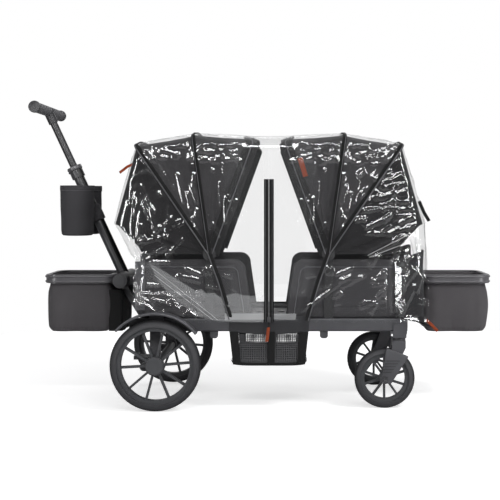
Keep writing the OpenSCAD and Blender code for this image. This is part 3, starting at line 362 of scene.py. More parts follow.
def sheet_through(name, points, inside, joined=False):
    """A sheet of quads through a table of points, facing away from the inside, its UV map in metres."""
    rows, cols = points.shape[:2]
    bpy.ops.object.select_all(action="DESELECT")
    bpy.ops.mesh.primitive_grid_add(x_subdivisions=cols - 1, y_subdivisions=rows - 1, size=2,
                                    location=(0, 0, 0))
    sheet = bpy.context.object
    sheet.name = name
    mesh = sheet.data
    mesh.name = name
    grid = mesh_points(mesh)
    col = np.rint((grid[:, 0] + 1) / 2 * (cols - 1)).astype(int)
    row = np.rint((grid[:, 1] + 1) / 2 * (rows - 1)).astype(int)
    mesh.vertices.foreach_set("co", points[row, col].ravel())
    u = run_along(points[rows // 2])
    v = run_along(points[:, cols // 2])
    corner = np.empty(len(mesh.loops), dtype=np.int32)
    mesh.loops.foreach_get("vertex_index", corner)
    mesh.uv_layers[0].data.foreach_set("uv", np.stack([u[col], v[row]], axis=1)[corner].ravel())
    mesh.update()
    middle = np.array([f.center for f in mesh.polygons])
    facing = np.array([f.normal for f in mesh.polygons])
    if np.sum((middle - np.array(inside)) * facing) < 0:
        mesh.flip_normals()
    if joined:
        bpy.ops.object.mode_set(mode="EDIT")
        bpy.ops.mesh.select_all(action="SELECT")
        bpy.ops.mesh.remove_doubles(threshold=0.0001)
        bpy.ops.mesh.normals_make_consistent(inside=False)
        bpy.ops.object.mode_set(mode="OBJECT")
    bpy.ops.object.shade_smooth()
    return sheet


def apply_wall(piece, depth, offset=-1.0):
    """Gives a sheet its thickness."""
    wall = piece.modifiers.new("wall", "SOLIDIFY")
    wall.thickness = depth
    wall.offset = offset
    bpy.context.view_layer.objects.active = piece
    bpy.ops.object.modifier_apply(modifier="wall")


def fitted(piece, finish, body):
    """Gives a piece its finish and slot, and the body it rides on."""
    piece.data.materials.append(finish)
    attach(piece, body)
    return piece


def walled_sheet(name, points, inside, thick, finish, joined=False, offset=-1.0):
    """A sheet with its thickness and finish."""
    sheet = sheet_through(name, points, inside, joined)
    apply_wall(sheet, thick, offset)
    sheet.data.materials.append(finish)
    return sheet


def sewn_sheet(name, points, inside, thick, finish, body, joined=False, offset=-1.0):
    """A sheet with its thickness and finish and the body it rides on."""
    sheet = walled_sheet(name, points, inside, thick, finish, joined, offset)
    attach(sheet, body)
    return sheet


def cloth_finish(name, dark, light, thread, twill=False, rough=0.85, relief=0.5, on_uv=True):
    """Woven cloth on a UV map in metres: threads in its relief, and a heather of two close tones."""
    cloth, tree, skin = new_finish(name)
    place = shader_node(tree, "ShaderNodeTexCoord").outputs["UV" if on_uv else "Object"]
    turn = shader_node(tree, "ShaderNodeVectorMath", {0: place, "Scale": 2 * math.pi / thread},
                       operation="SCALE")
    part = shader_node(tree, "ShaderNodeSeparateXYZ", {0: turn.outputs[0]}).outputs
    if twill:
        weave = math_node(tree, "SINE", math_node(tree, "ADD", part["X"], part["Y"]))
    else:
        warp = math_node(tree, "SINE", part["X"])
        weave = math_node(tree, "MULTIPLY", warp, math_node(tree, "SINE", part["Y"]))
    heather = shader_node(tree, "ShaderNodeTexNoise", {"Vector": place, "Scale": 420.0, "Detail": 4.0})
    shade = shader_node(tree, "ShaderNodeTexNoise", {"Vector": place, "Scale": 7.0, "Detail": 3.0})
    blend = math_node(tree, "MULTIPLY_ADD", weave, 0.16, heather.outputs["Fac"])
    worn = math_node(tree, "MULTIPLY_ADD", shade.outputs["Fac"], 0.5, blend)
    share = shader_node(tree, "ShaderNodeMapRange", {"Value": worn, "From Min": 0.4, "From Max": 1.1})
    bump = shader_node(tree, "ShaderNodeBump", {
        "Height": weave, "Strength": relief, "Distance": thread * 0.3})
    tree.links.new(two_tone(tree, share.outputs[0], dark, light), skin.inputs["Base Color"])
    tree.links.new(bump.outputs[0], skin.inputs["Normal"])
    skin.inputs["Roughness"].default_value = rough
    skin.inputs["Sheen Weight"].default_value = 0.05
    skin.inputs["Specular IOR Level"].default_value = 0.15
    return cloth


canopy_cloth = cloth_finish("canopy_cloth", "#353436", "#4B4A4C", 0.0014)
tail_cloth = cloth_finish("tail_cloth", "#1B1A1C", "#29282A", 0.0014)
black_binding = cloth_finish("black_binding", "#0D0D0E", "#171718", 0.0018, rough=0.6, relief=0.8)
grey_binding = cloth_finish("grey_binding", "#58585B", "#78787B", 0.0018, rough=0.5, relief=0.8)


def fan_points(leans, reaches, half, foot, count, way, draw_in=0.0):
    """Points of a hood's sheet: one arch a row, each leaning at the hub; the front hood is turned round."""
    table = np.empty((len(leans), count, 3))
    for k, (lean, reach) in enumerate(zip(np.radians(leans), reaches)):
        slack = draw_in * math.sin(math.pi * k / (len(leans) - 1))
        y, h = arch_line(half - slack, CLOTH_CORNER, reach, foot, count)
        table[k] = spread(BODY_X - way * (np.sin(lean) * h - HUB_X), y, HUB_Z + np.cos(lean) * h)
    return table


def path_frame(path, inside):
    """Unit vectors out from an inner point and sideways, square to a path."""
    ahead = unit(np.gradient(path, axis=0))
    out = path - np.array(inside)
    out = unit(out - ahead * np.sum(out * ahead, axis=1)[:, None])
    return out, np.cross(ahead, out)


def bow_band(name, path, wide, lift, shift, drawn, finish, body, way):
    """A band of even width along a path over a hood, drawn for the rear hood; it may lie beside the path."""
    path = even_points(path, 260)
    out, side = path_frame(path, (-HUB_X, 0, HUB_Z))
    inner = 1 - smooth_step(np.abs(path[:, 1]), 0.245, 0.275)
    beside = (shift - drawn * inner)[:, None]
    band = np.stack([path + side * (wide * s + beside) + out * (lift + 0.0008 * (1 - s * s))
                     for s in np.linspace(-1, 1, 7)])
    band[..., 0] = BODY_X - way * band[..., 0]
    sewn_sheet(name, band, (BODY_X + way * 0.2, 0, 0.55), 0.0010, finish, body)


CLOTH_HALF = 0.2784
CLOTH_CORNER = 0.032
CLOTH_T = 0.0012
EDGE_TURN = 0.84
BACK_EDGE = 0.4506
back_edge = (BACK_LEAN + EDGE_TURN, BACK_EDGE)
mid_edge = (MID_LEAN, 0.4145)
front_edge = (FRONT_LEAN, 0.4225)
skirt_edge = (-89.6, 0.246)
tail_edge = (TAIL_LEAN, 0.350)
tail_top = (BACK_LEAN - EDGE_TURN, BACK_EDGE)
for end, way, chassis in ENDS:
    hub = (BODY_X + way * HUB_X, 0, HUB_Z + 0.1)
    middle = f"{end}_canopy_middle"
    brow = f"{end}_canopy_brow"
    made = []
    for part, edges, sag, finish in (
            ("back_panel", (back_edge, mid_edge), 0.0015, canopy_cloth),
            ("front_panel", (mid_edge, front_edge), 0.0015, canopy_cloth),
            ("tail", (skirt_edge, tail_edge, tail_top), 0.003, tail_cloth)):
        leans = np.concatenate([np.linspace(p[0], q[0], 37) for p, q in zip(edges, edges[1:])])
        reaches = np.concatenate([chord(p, q, np.linspace(p[0], q[0], 37)) for p, q in zip(edges, edges[1:])])
        dip = np.tile(np.sin(np.linspace(0, math.pi, 37)), len(edges) - 1)
        keep = np.concatenate([[True], np.diff(leans) > 1e-6])
        leans, reaches, dip = leans[keep], reaches[keep], dip[keep]
        points = fan_points(leans, reaches - sag * dip, CLOTH_HALF, 0.016, 201, way, 0.006)
        run = np.linspace(0, 1, 201)[None, :]
        swing = np.linspace(0, 1, len(leans))[:, None]
        crease = fold_noise(run * 26 + swing * 3, swing * 3 + run * 7, 11) - 0.5
        ripple = fold_noise(run * 9, swing * 7 + run * 4, 12) - 0.5
        edge = dip[:, None] ** 0.8 * (1 - 0.8 * np.exp(-((run - 0.5) / 0.22) ** 4))
        sink = edge * (0.008 * np.abs(crease) + 0.008 * np.abs(ripple))
        points -= unit(points - np.array(hub)) * sink[..., None]
        made.append(walled_sheet(f"{end}_canopy_{part}", points, hub, CLOTH_T, finish))
    back, front, tail = made
    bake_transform(back)
    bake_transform(front)
    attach(tail, chassis)
    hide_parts(f"{end}_canopy_fabric")
    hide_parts(f"{end}_canopy_fabric")
    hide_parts(f"{end}_canopy_tail")

    # A strap sewn down each corner of the tail, from the fixed bow to the tail's turn
    for tag, side in SIDES:
        leans = np.linspace(tail_edge[0], tail_top[0], 40)
        reaches = chord(tail_edge, tail_top, leans) + 0.0022
        points = fan_points(leans, reaches, CLOTH_HALF + 0.0022, 0.05, 401, way)[:, ::-side]
        at = np.argmax(np.abs(points[..., 1]) < CLOTH_HALF - 0.010, axis=1)
        band = np.stack([points[k, at[k] - 5:at[k] + 6] for k in range(len(leans))])
        sewn_sheet(f"{end}_canopy_corner_strap_{tag}", band, hub, 0.0012, black_binding, chassis)

    # Bindings sewn over the bows, and the thick hem round the front bow with a grey line along it that is a
    # painted highlight
    for part, lean, reach, wide, lift, shift, drawn, body, finish in (
            ("back_binding", BACK_LEAN, 0.4530, 0.0090, 0.0008, 0.0, 0.0, chassis, black_binding),
            ("mid_binding", MID_LEAN, 0.4151, 0.0075, 0.0008, 0.0, 0.0, middle, black_binding),
            ("hem", FRONT_LEAN, 0.4235, 0.0225, 0.0014, 0.009, 0.014, brow, black_binding),
            # A grey line along the middle of the hem: a painted highlight.
            ("hem_highlight", FRONT_LEAN, 0.4252, 0.0019, 0.0030, 0.009, 0.014, brow, grey_binding)):
        y, h = arch_line(CLOTH_HALF + 0.0012 + lift, CLOTH_CORNER, reach, 0.004, 161)
        turn = math.radians(lean)
        path = spread(-HUB_X + math.sin(turn) * h, y, HUB_Z + math.cos(turn) * h)
        bow_band(f"{end}_canopy_{part}", path, wide, lift, shift, drawn, finish, body, way)
    leans = np.linspace(TAIL_LEAN - 0.5, TAIL_LEAN + 0.5, 5)
    points = fan_points(leans, np.full(5, 0.3514), CLOTH_HALF + 0.0018, 0.05, 161, way)
    sewn_sheet(f"{end}_canopy_tail_seam", points, hub, 0.001, black_binding, chassis)

# Rain cover: clear vinyl film in a rear and a front half, welded over the canopies and held by its hem.
# The film keeps the creases of its packing: sharp folds, fans from the corners and a crumpled front end.
FILM_HALF = 0.2843
FILM_CORNER = 0.036
END_CORNER = 0.030
ROOF_Z = 0.930
HEM_Z = 0.294
LEG_COUNT = 168
ARCH_COUNT = 121


def creases(x, y, seed):
    """Sharp ridges along winding lines, from 0 to 1."""
    return (1 - np.abs(2 * fold_noise(x, y, seed) - 1)) ** 1.6


def facets(x, y, seed):
    """Heights from 0 to 1 over flat three-sided facets, about one unit across, that meet in sharp creases."""
    warp = 0.7 * fold_noise(x * 0.9 + 5, y * 0.9, seed + 100)
    x, y = x + warp, y + 0.7 * fold_noise(x * 0.9, y * 0.9 + 9, seed + 200)
    table = np.random.default_rng(seed).random((64, 64))
    i = np.floor(x).astype(int)
    j = np.floor(y).astype(int)
    fx, fy = x - i, y - j
    here, right = table[i % 64, j % 64], table[(i + 1) % 64, j % 64]
    up, across = table[i % 64, (j + 1) % 64], table[(i + 1) % 64, (j + 1) % 64]
    lower = here + fx * (right - here) + fy * (up - here)
    upper = across + (1 - fx) * (up - across) + (1 - fy) * (right - across)
    return np.where(fx + fy < 1, lower, upper)


def ridge(x, z, start, stop, wide):
    """A fold along the straight line between two points of the side, 1 at its crest."""
    along = np.array(stop) - np.array(start)
    length = np.linalg.norm(along)
    along = along / length
    share = ((x - start[0]) * along[0] + (z - start[1]) * along[1]) / length
    off = np.abs((z - start[1]) * along[0] - (x - start[0]) * along[1])
    ends = smooth_step(share, -0.02, 0.08) * (1 - smooth_step(share, 0.9, 1.02))
    return np.clip(1 - off / wide, 0, 1) * ends


def roof_rise(corner):
    """How far the roof's crown lies above the start of its round corners."""
    return corner + (FILM_HALF - corner) * math.tan(CROWN / 2)


def film_stations(end_x):
    """Where the roof's corners start, the way up and the corner radius, from the low end to the middle."""
    over_tail = 0.3548
    over_back = float(chord((TAIL_LEAN, over_tail), (BACK_LEAN - 0.761, 0.4561), BACK_LEAN))
    over_front = (ROOF_Z - HUB_Z) / math.cos(math.radians(FRONT_LEAN))
    drop = roof_rise(FILM_CORNER)
    rows = [(-end_x - 0.008 + roof_rise(END_CORNER), z, -1.0, 0.0, END_CORNER) for z in (0.458, 0.503)]
    reaches = ((TAIL_LEAN, over_tail), (BACK_LEAN, over_back), (MID_LEAN, 0.422), (FRONT_LEAN, over_front))
    for lean, reach in reaches:
        way = (math.sin(math.radians(lean)), math.cos(math.radians(lean)))
        rows.append((-HUB_X + way[0] * (reach - drop), HUB_Z + way[1] * (reach - drop), *way, FILM_CORNER))
    rows.append((-0.0004, ROOF_Z - drop, 0.0, 1.0, FILM_CORNER))
    return np.array(rows)


def film_points(end_x, low_z, steps):
    """The smooth film of one half, hem to hem over the roof, drawn as the rear half about the middle."""
    stations = film_stations(end_x)
    run = run_along(stations[:, :2] + stations[:, 2:4] * (stations[:, 4:5] + 0.02))
    run /= run[-1]
    share = np.linspace(0, 1, steps)
    rows = np.stack([np.interp(share, run, stations[:, k]) for k in range(5)], axis=1)
    rows[:, 2:4] = unit(rows[:, 2:4])
    hem_x = -end_x + share * (end_x - 0.0004)
    hem_z = np.interp(hem_x, [-0.320, -0.262], [low_z, HEM_Z])
    table = np.empty((steps, 2 * LEG_COUNT + ARCH_COUNT, 3))
    up = np.linspace(0, 1, LEG_COUNT, endpoint=False)
    for k in range(steps):
        base, way, corner = rows[k, :2], rows[k, 2:4], rows[k, 4]
        leg = np.outer(1 - up, [hem_x[k], hem_z[k]]) + np.outer(up, base)
        leg[:, 0] -= 0.045 * max(0, 1 - share[k] / 0.16) * np.sin(up * math.pi * 0.92) ** 0.8
        leg[:, 0] = np.maximum(leg[:, 0], -end_x)
        y, h = arch_line(FILM_HALF, corner, roof_rise(corner), 0, ARCH_COUNT)
        table[k, :LEG_COUNT] = spread(leg[:, 0], -FILM_HALF, leg[:, 1])
        table[k, LEG_COUNT:-LEG_COUNT] = spread(base[0] + way[0] * h, y, base[1] + way[1] * h)
        table[k, -LEG_COUNT:] = table[k, LEG_COUNT - 1::-1] * [1, -1, 1]
    return table


def short_folds(x, b, seed, count, low, high, lean, spread_deg, length, wide, tall):
    """Short straight folds at random places in a patch of the film, leaning about one way."""
    pick = np.random.default_rng(seed)
    push = 0.0
    for _ in range(count):
        start = pick.uniform(low, high)
        turn = math.radians(lean + spread_deg * pick.uniform(-1, 1))
        reach = length * pick.uniform(0.35, 1.0) ** 2
        stop = start + reach * np.array([math.cos(turn), math.sin(turn)])
        share = pick.uniform(0.55, 1.0)
        push = np.maximum(push, tall * share * ridge(x, b, start, stop, wide * share))
    return push


def crumple(table, front):
    """Pushes the film out along its normals in folds, more where the real cover is crushed."""
    over = np.gradient(table, axis=1)
    normal = np.cross(np.gradient(table, axis=0), over)
    normal /= np.linalg.norm(normal, axis=2)[..., None] + 1e-9
    normal *= np.sign(np.sum(normal * (table - [-0.2, 0, 0.5]), axis=2))[..., None]
    run = np.cumsum(np.linalg.norm(over, axis=2), axis=1)
    total = run[:, -1:]
    near = np.minimum(run, total - run)
    far = (run > total / 2) * 40.0
    x = -table[..., 0]
    start = run[:, LEG_COUNT:LEG_COUNT + 1]
    base_z = table[:, LEG_COUNT:LEG_COUNT + 1, 2]
    b = np.where(near < start, table[..., 2], base_z + near - start)
    crown = 1 - smooth_step(near, total / 2 - 0.20, total / 2)
    middle = smooth_step(x, 0.02, 0.09)
    tail = smooth_step(x, 0.29, 0.36) * smooth_step(b, 0.52, 0.57) * (1 - smooth_step(b, 0.78, 0.86))
    low_end = smooth_step(x, 0.33, 0.42) * (1 - smooth_step(b, 0.49, 0.53))
    broad = facets(x / 0.085 + b * 3 + far, b / 0.110 - x * 3, 31)
    fine = facets(x / 0.026 - b * 8 + far, b / 0.024 + x * 9, 32)
    push = middle * (0.0016 * broad + 0.0003 * fine)
    top = np.exp(-((b - base_z + 0.004) / 0.040) ** 2) * (x < 0.47)
    push += middle * top * (0.0040 * facets(x / 0.034 + far, b / 0.022 - x * 7, 33) + 0.0012 * fine)
    for patch in (
            (51, 34, (0.08, 0.58), (0.40, 0.84), 72, 24, 0.110, 0.0110, 0.0038),
            (52, 40, (0.07, 0.83), (0.44, 0.93), 24, 40, 0.100, 0.0130, 0.0040),
            (53, 36, (0.06, 0.84), (0.45, 0.92), 5, 30, 0.075, 0.0120, 0.0037),
            (54, 20, (0.10, 0.33), (0.38, 0.48), 35, 30, 0.100, 0.0110, 0.0034)):
        push += middle * short_folds(x, b, *patch)
    side = (table[..., 1] < 0) * 1.0
    if front:
        patches = ((61, 44, (0.06, 0.82), (0.42, 0.93), 20, 45, 0.060, 0.0110, 0.0034),
                   (62, 40, (0.28, 0.56), (0.44, 0.80), 14, 24, 0.170, 0.0150, 0.0054),
                   (63, 20, (0.33, 0.31), (0.52, 0.48), 62, 30, 0.130, 0.0150, 0.0060))
        lines = (((0.315, 0.516), (0.470, 0.600), 0.0022), ((0.330, 0.516), (0.476, 0.585), 0.0022),
                 ((0.300, 0.503), (0.530, 0.543), 0.0018), ((0.378, 0.470), (0.434, 0.405), 0.0026),
                 ((0.445, 0.408), (0.500, 0.470), 0.0026), ((0.105, 0.330), (0.300, 0.470), 0.0020),
                 ((0.240, 0.410), (0.330, 0.455), 0.0022))
        tents = ((0.398, 0.420, 0.446, 0.325, 0.500), (0.448, 0.464, 0.494, 0.285, 0.322))
        push += tail * (0.0035 * creases(x / 0.16 + far + b, b / 0.040 + x * 5, 21) + 0.0008 * fine)
        push += low_end * 0.0030 * facets(x / 0.030 + b * 2 + far, b / 0.09, 35)
    else:
        patches = ((64, 10, (0.28, 0.52), (0.42, 0.64), -28, 20, 0.110, 0.0120, 0.0040),
                   (65, 26, (0.23, 0.31), (0.43, 0.39), 35, 60, 0.085, 0.0130, 0.0054),
                   (66, 12, (0.42, 0.34), (0.46, 0.66), 80, 20, 0.110, 0.0110, 0.0042))
        lines = (((0.395, 0.468), (0.168, 0.303), 0.0024), ((0.392, 0.456), (0.190, 0.303), 0.0024),
                 ((0.505, 0.622), (0.430, 0.535), 0.0024), ((0.500, 0.606), (0.445, 0.520), 0.0024),
                 ((0.455, 0.640), (0.300, 0.520), 0.0014), ((0.400, 0.497), (0.325, 0.494), 0.0026))
        tents = ()
        push += tail * (0.0020 * broad + 0.0008 * fine)
    for patch in patches:
        push += short_folds(x, b, *patch)
    for first, last, high in lines:
        push += high * side * ridge(x, b, first, last, 0.009)
    for left, crest, right, low, high in tents:
        span = side * smooth_step(b, low, low + 0.02) * (1 - smooth_step(b, high - 0.02, high))
        inside = span * smooth_step(x, left - 0.01, left) * (1 - smooth_step(x, right, right + 0.01))
        rise = np.clip((x - left) / (crest - left), 0, 1) * np.clip((right - x) / (right - crest), 0, 1)
        push = push * (1 - 0.9 * inside) + 0.32 * (right - crest) * rise * span
    wave = np.sin(x * 85 + 2 * fold_noise(x * 9, 0.0, 28) * 6)
    push += 0.0018 * (1 - smooth_step(b, HEM_Z, HEM_Z + 0.035)) * (1 + wave) * middle
    for lean in (BACK_LEAN, MID_LEAN):
        turn = math.radians(-lean)
        off = np.abs((x - HUB_X) * math.cos(turn) - (b - HUB_Z) * math.sin(turn))
        push *= 1 - 0.92 * np.exp(-(off / 0.010) ** 2) * (b > HUB_Z)
    return table + normal * (push * crown)[..., None]


film_clear, film_tree, film_skin = new_finish("film_clear")
film_place = shader_node(film_tree, "ShaderNodeTexCoord").outputs["UV"]
film_edge = shader_node(film_tree, "ShaderNodeLayerWeight", {"Blend": 0.35})
film_veil = shader_node(film_tree, "ShaderNodeMapRange", {
    "Value": film_edge.outputs["Facing"], "To Min": 0.050, "To Max": 0.32})
# A point attribute makes the film milky where it is set: it paints a grey reflection over the near rear wheel
# and a reflective strip along the near hem, and gives the window a faint milky tint.
film_haze_and_sheen = shader_node(film_tree, "ShaderNodeAttribute", attribute_name="haze_and_sheen").outputs["Fac"]
film_fine = shader_node(film_tree, "ShaderNodeTexNoise", {"Vector": film_place, "Scale": 55.0, "Detail": 3.0})
film_bump = shader_node(film_tree, "ShaderNodeBump", {
    "Height": film_fine.outputs["Fac"], "Strength": 0.10, "Distance": 0.002})
film_clearness = shader_node(film_tree, "ShaderNodeMapRange", {
    "Value": film_haze_and_sheen, "From Min": 0.0, "From Max": 0.15, "To Min": 1.0, "To Max": 0.0})
film_tree.links.new(math_node(film_tree, "ADD", film_veil.outputs[0], film_haze_and_sheen), film_skin.inputs["Alpha"])
film_tree.links.new(film_bump.outputs[0], film_skin.inputs["Normal"])
film_tree.links.new(film_clearness.outputs[0], film_skin.inputs["Metallic"])
film_skin.inputs["Base Color"].default_value = (0.86, 0.87, 0.88, 1)
film_skin.inputs["Roughness"].default_value = 0.15


def film_haze_and_sheen_at(spots, front):
    """How milky the film is, with painted reflections: a painted grey reflection over the near rear wheel and
    a painted reflective strip along the hem, both on the near side only, and a faint milky tint at the
    window.
    """
    x, z = np.abs(spots[:, 0] - BODY_X), spots[:, 2]
    seen = (spots[:, 1] < -0.25) * 1.0
    # A painted reflective strip along the hem, on the near side only.
    hem_painted_sheen = 0.25 * smooth_step(z, 0.300, 0.304) * (1 - smooth_step(z, 0.322, 0.326)) * seen
    if front:
        haze_and_sheen = hem_painted_sheen * (x < 0.091)
    else:
        # A painted grey reflection over the near rear wheel, between a torn upper edge and a lower edge.
        torn = 0.020 * (facets(x / 0.020, 0.0, 38) - 0.5) * (x < 0.24)
        upper = torn + np.interp(x, [0.016, 0.167, 0.221, 0.249, 0.358, 0.399],
                                 [0.379, 0.387, 0.396, 0.403, 0.470, 0.493])
        lower = np.interp(x, [0.016, 0.170, 0.233, 0.316, 0.366, 0.399],
                          [0.290, 0.298, 0.312, 0.370, 0.424, 0.487])
        above = smooth_step(z, lower - 0.002, lower + 0.003)
        haze_and_sheen = 0.21 * above * (1 - smooth_step(z, upper - 0.003, upper + 0.002))
        haze_and_sheen *= (x < 0.402) * (x > 0.018)
        haze_and_sheen = np.maximum(haze_and_sheen, 0.08 * (x > 0.366) * (x < 0.4155) * (z > 0.409) * (z < 0.496)) * seen
        strip = hem_painted_sheen * (x < 0.147)
        haze_and_sheen = np.maximum(haze_and_sheen, strip + haze_and_sheen * (strip > 0))
    # A faint milky tint at the window, on both sides.
    return np.maximum(haze_and_sheen, 0.05 * (1 - smooth_step(x, 0.11, 0.19)) * (z > 0.38))


FILM_ENDS = ((0.455, 0.331, 1.05), (0.535, HEM_Z, 1.15))
HUB_FOOT = ((-0.127, 0.300), (-0.165, 0.430))
for (end, way, chassis), (end_x, low_z, area) in zip(ENDS, FILM_ENDS):
    points = crumple(film_points(end_x, low_z, 210), way > 0)
    points[..., 0] = BODY_X - way * points[..., 0]
    film = sheet_through(f"{end}_cover_film", points, (BODY_X + way * 0.2, 0, 0.55))
    haze_and_sheen = film_haze_and_sheen_at(mesh_points(film.data), way > 0)
    film.data.attributes.new("haze_and_sheen", "FLOAT", "POINT").data.foreach_set("value", haze_and_sheen)
    fitted(film, film_clear, chassis)
    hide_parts(f"{end}_cover_roof", f"{end}_cover_sides")

    # Bindings welded on the film over the fixed and the middle bow; the first runs on past the hub to the hem
    stations = film_stations(end_x)
    for part, row, foot, wide, lift, shift, finish in (
            ("back_seam", 3, HUB_FOOT, 0.0080, 0.0012, 0.0, black_binding),
            ("back_seam_welt", 3, HUB_FOOT, 0.0021, 0.0026, -0.0050, grey_binding),
            ("mid_seam", 4, (), 0.0065, 0.0012, 0.0, black_binding),
            ("mid_seam_welt", 4, (), 0.0012, 0.0024, -0.0030, grey_binding)):
        x0, z0, wx, wz, corner = stations[row]
        outside = FILM_HALF + 0.0012
        y, h = arch_line(outside, corner, roof_rise(corner) + 0.0012, 0, 121)
        legs = np.array([(x, -outside, z) for x, z in (*foot, (-HUB_X, HUB_Z + 0.004))])
        path = np.concatenate([legs, spread(x0 + wx * h, y, z0 + wz * h), legs[::-1] * [1, -1, 1]])
        bow_band(f"{end}_cover_{part}", path, wide, lift, shift, 0.0, finish, chassis, way)


# Zip: a black woven tape up the middle of each side, half of it on each half of the cover.
# Grey coil teeth meet at the middle; the near slider is a dark block with a rust-coloured webbing pull.
for (tag, side), half in zip(SIDES, (0.0165, 0.0090)):
    for end, way, body in ENDS:
        for part, near, far, lift, thick, finish in (
                ("tape", 0.0005, half, 0.0, 0.0006, black_binding),
                ("tape_edge", half - 0.0040, half, 0.0012, 0.0006, black_binding),
                ("tape_line", half - 0.0062, half - 0.0048, 0.0008, 0.0005, grey_binding),
                ("teeth", 0.0004, 0.0022, 0.0006, 0.0005, grey_binding)):
            z = np.linspace(HEM_Z + 0.001, 0.774, 160)[None, :]
            rib = 0.0003 * np.sin(z * 1400) if part == "teeth" else 0.0
            across = np.linspace(near, far, 5)[:, None]
            table = spread(BODY_X + way * across, side * (FILM_HALF + 0.0004 + lift + rib), z)
            sewn_sheet(f"{end}_zip_{part}_{tag}", table, (BODY_X, 0, 0.5), thick, finish, body,
                       offset=1.0)
rust_webbing = cloth_finish("rust_webbing", "#9A4022", "#BE5A34", 0.0022, rough=0.7, relief=0.9)


def webbing_tab(name, path, across, finish, body, thick=0.0018):
    """A short doubled end of webbing along a path from the wagon's middle, as wide as the vector across."""
    line = even_points(np.array(path) + [BODY_X, 0, 0], 24)
    crown = unit(np.cross(np.gradient(line, axis=0), across))
    table = np.stack([line + s * np.array(across) + crown * 0.0008 * (1 - 4 * s * s)
                      for s in np.linspace(-0.5, 0.5, 9)])
    tab = sheet_through(name, table, line.mean(axis=0) - crown.mean(axis=0))
    apply_wall(tab, thick)
    soft = tab.modifiers.new("soft", "BEVEL")
    soft.width = 0.0004
    soft.segments = 2
    bpy.ops.object.modifier_apply(modifier="soft")
    fitted(tab, finish, body)


def open_piece(name):
    """Names the new object and opens its mesh for editing, with all of it selected."""
    piece = bpy.context.object
    piece.name = name
    piece.data.name = name
    bpy.ops.object.mode_set(mode="EDIT")
    bpy.ops.mesh.select_all(action="SELECT")
    return piece


def close_piece(piece, finish, body):
    """Closes a mesh, smooths it between its sharp edges and fits it to its body."""
    bpy.ops.object.mode_set(mode="OBJECT")
    bpy.ops.object.shade_smooth_by_angle(angle=math.radians(40))
    return fitted(piece, finish, body)


def rounded_block(name, one, other, bevel, finish, body):
    """A moulded block with rounded edges between two opposite corners."""
    bpy.ops.object.select_all(action="DESELECT")
    bpy.ops.mesh.primitive_cube_add(size=1, location=(0, 0, 0))
    block = open_piece(name)
    bpy.ops.transform.resize(value=tuple(abs(b - a) for a, b in zip(one, other)))
    bpy.ops.transform.translate(value=tuple((a + b) / 2 for a, b in zip(one, other)))
    bpy.ops.mesh.bevel(offset=bevel, segments=3, affect="EDGES")
    return close_piece(block, finish, body)


near_y = -FILM_HALF - 0.0035
slider = rounded_block("zip_slider_body", (BODY_X - 0.006, near_y - 0.0022, 0.294),
                       (BODY_X + 0.006, near_y + 0.0018, 0.312), 0.0012,
                       moulded_black, "zip_pull")
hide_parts("zip_slider")
webbing_tab("zip_pull_cord", [(0, near_y - 0.001, 0.300), (-0.0005, near_y - 0.0016, 0.272)],
            (0.004, 0, 0), black_binding, "zip_pull")
webbing_tab("zip_pull_tab", [(-0.0015, near_y - 0.002, 0.2775), (-0.0035, near_y - 0.003, 0.256),
                             (-0.0070, near_y - 0.002, 0.2300)],
            (0.0105, 0, 0.001), rust_webbing, "zip_pull")

# Pull tabs: three more rust-coloured ends of webbing, on the two hoods and on the cover's front corner.
# A black strap carries the corner's tab, another stands out at the tip of the front tail, and a broad grey
# strap is sewn inside the film at the rear on each side.
tab_turn = math.radians(16.6)
tab_rise = round(math.cos(tab_turn), 4)
hood_tab = [(HUB_X - reach * math.sin(tab_turn), -(CLOTH_HALF + 0.0040), HUB_Z + reach * tab_rise)
            for reach in (0.3366, 0.2720)]
for name, path, across, finish, slot, body in (
        ("front_hood_tab", hood_tab, (0.0175, 0, 0.0052), rust_webbing, "pull_webbing", "front_canopy_brow"),
        ("rear_hood_tab", [(-0.452, -0.262, 0.8270), (-0.476, -0.266, 0.8165), (-0.5023, -0.270, 0.7955)],
         (-0.0048, 0, 0.0080), rust_webbing, "pull_webbing", "chassis"),
        ("cover_corner_tab",
         [(0.5270, -0.2840, 0.3030), (0.5440, -0.2855, 0.2870), (0.5650, -0.2850, 0.2650)],
         (0.0072, 0, 0.0072), rust_webbing, "pull_webbing", "front_frame"),
        ("cover_corner_strap",
         [(0.4300, -0.2868, 0.3120), (0.4900, -0.2872, 0.2990), (0.5500, -0.2840, 0.2800)],
         (0.0016, 0, 0.0052), black_binding, "webbing", "front_frame"),
        ("front_tail_strap_end",
         [(0.5060, -0.2610, 0.7000), (0.5220, -0.2640, 0.6620), (0.5390, -0.2660, 0.6330)],
         (0.0105, 0, 0.0050), black_binding, "webbing", "front_frame")):
    webbing_tab(name, path, across, finish, body)
for tag, side in SIDES:
    path = [(-0.4325, side * (FILM_HALF - 0.0022), z) for z in (0.498, 0.334)]
    webbing_tab(f"rear_cover_strap_{tag}", path, (0.033 * side, 0, 0), grey_binding, "chassis",
                0.0010)

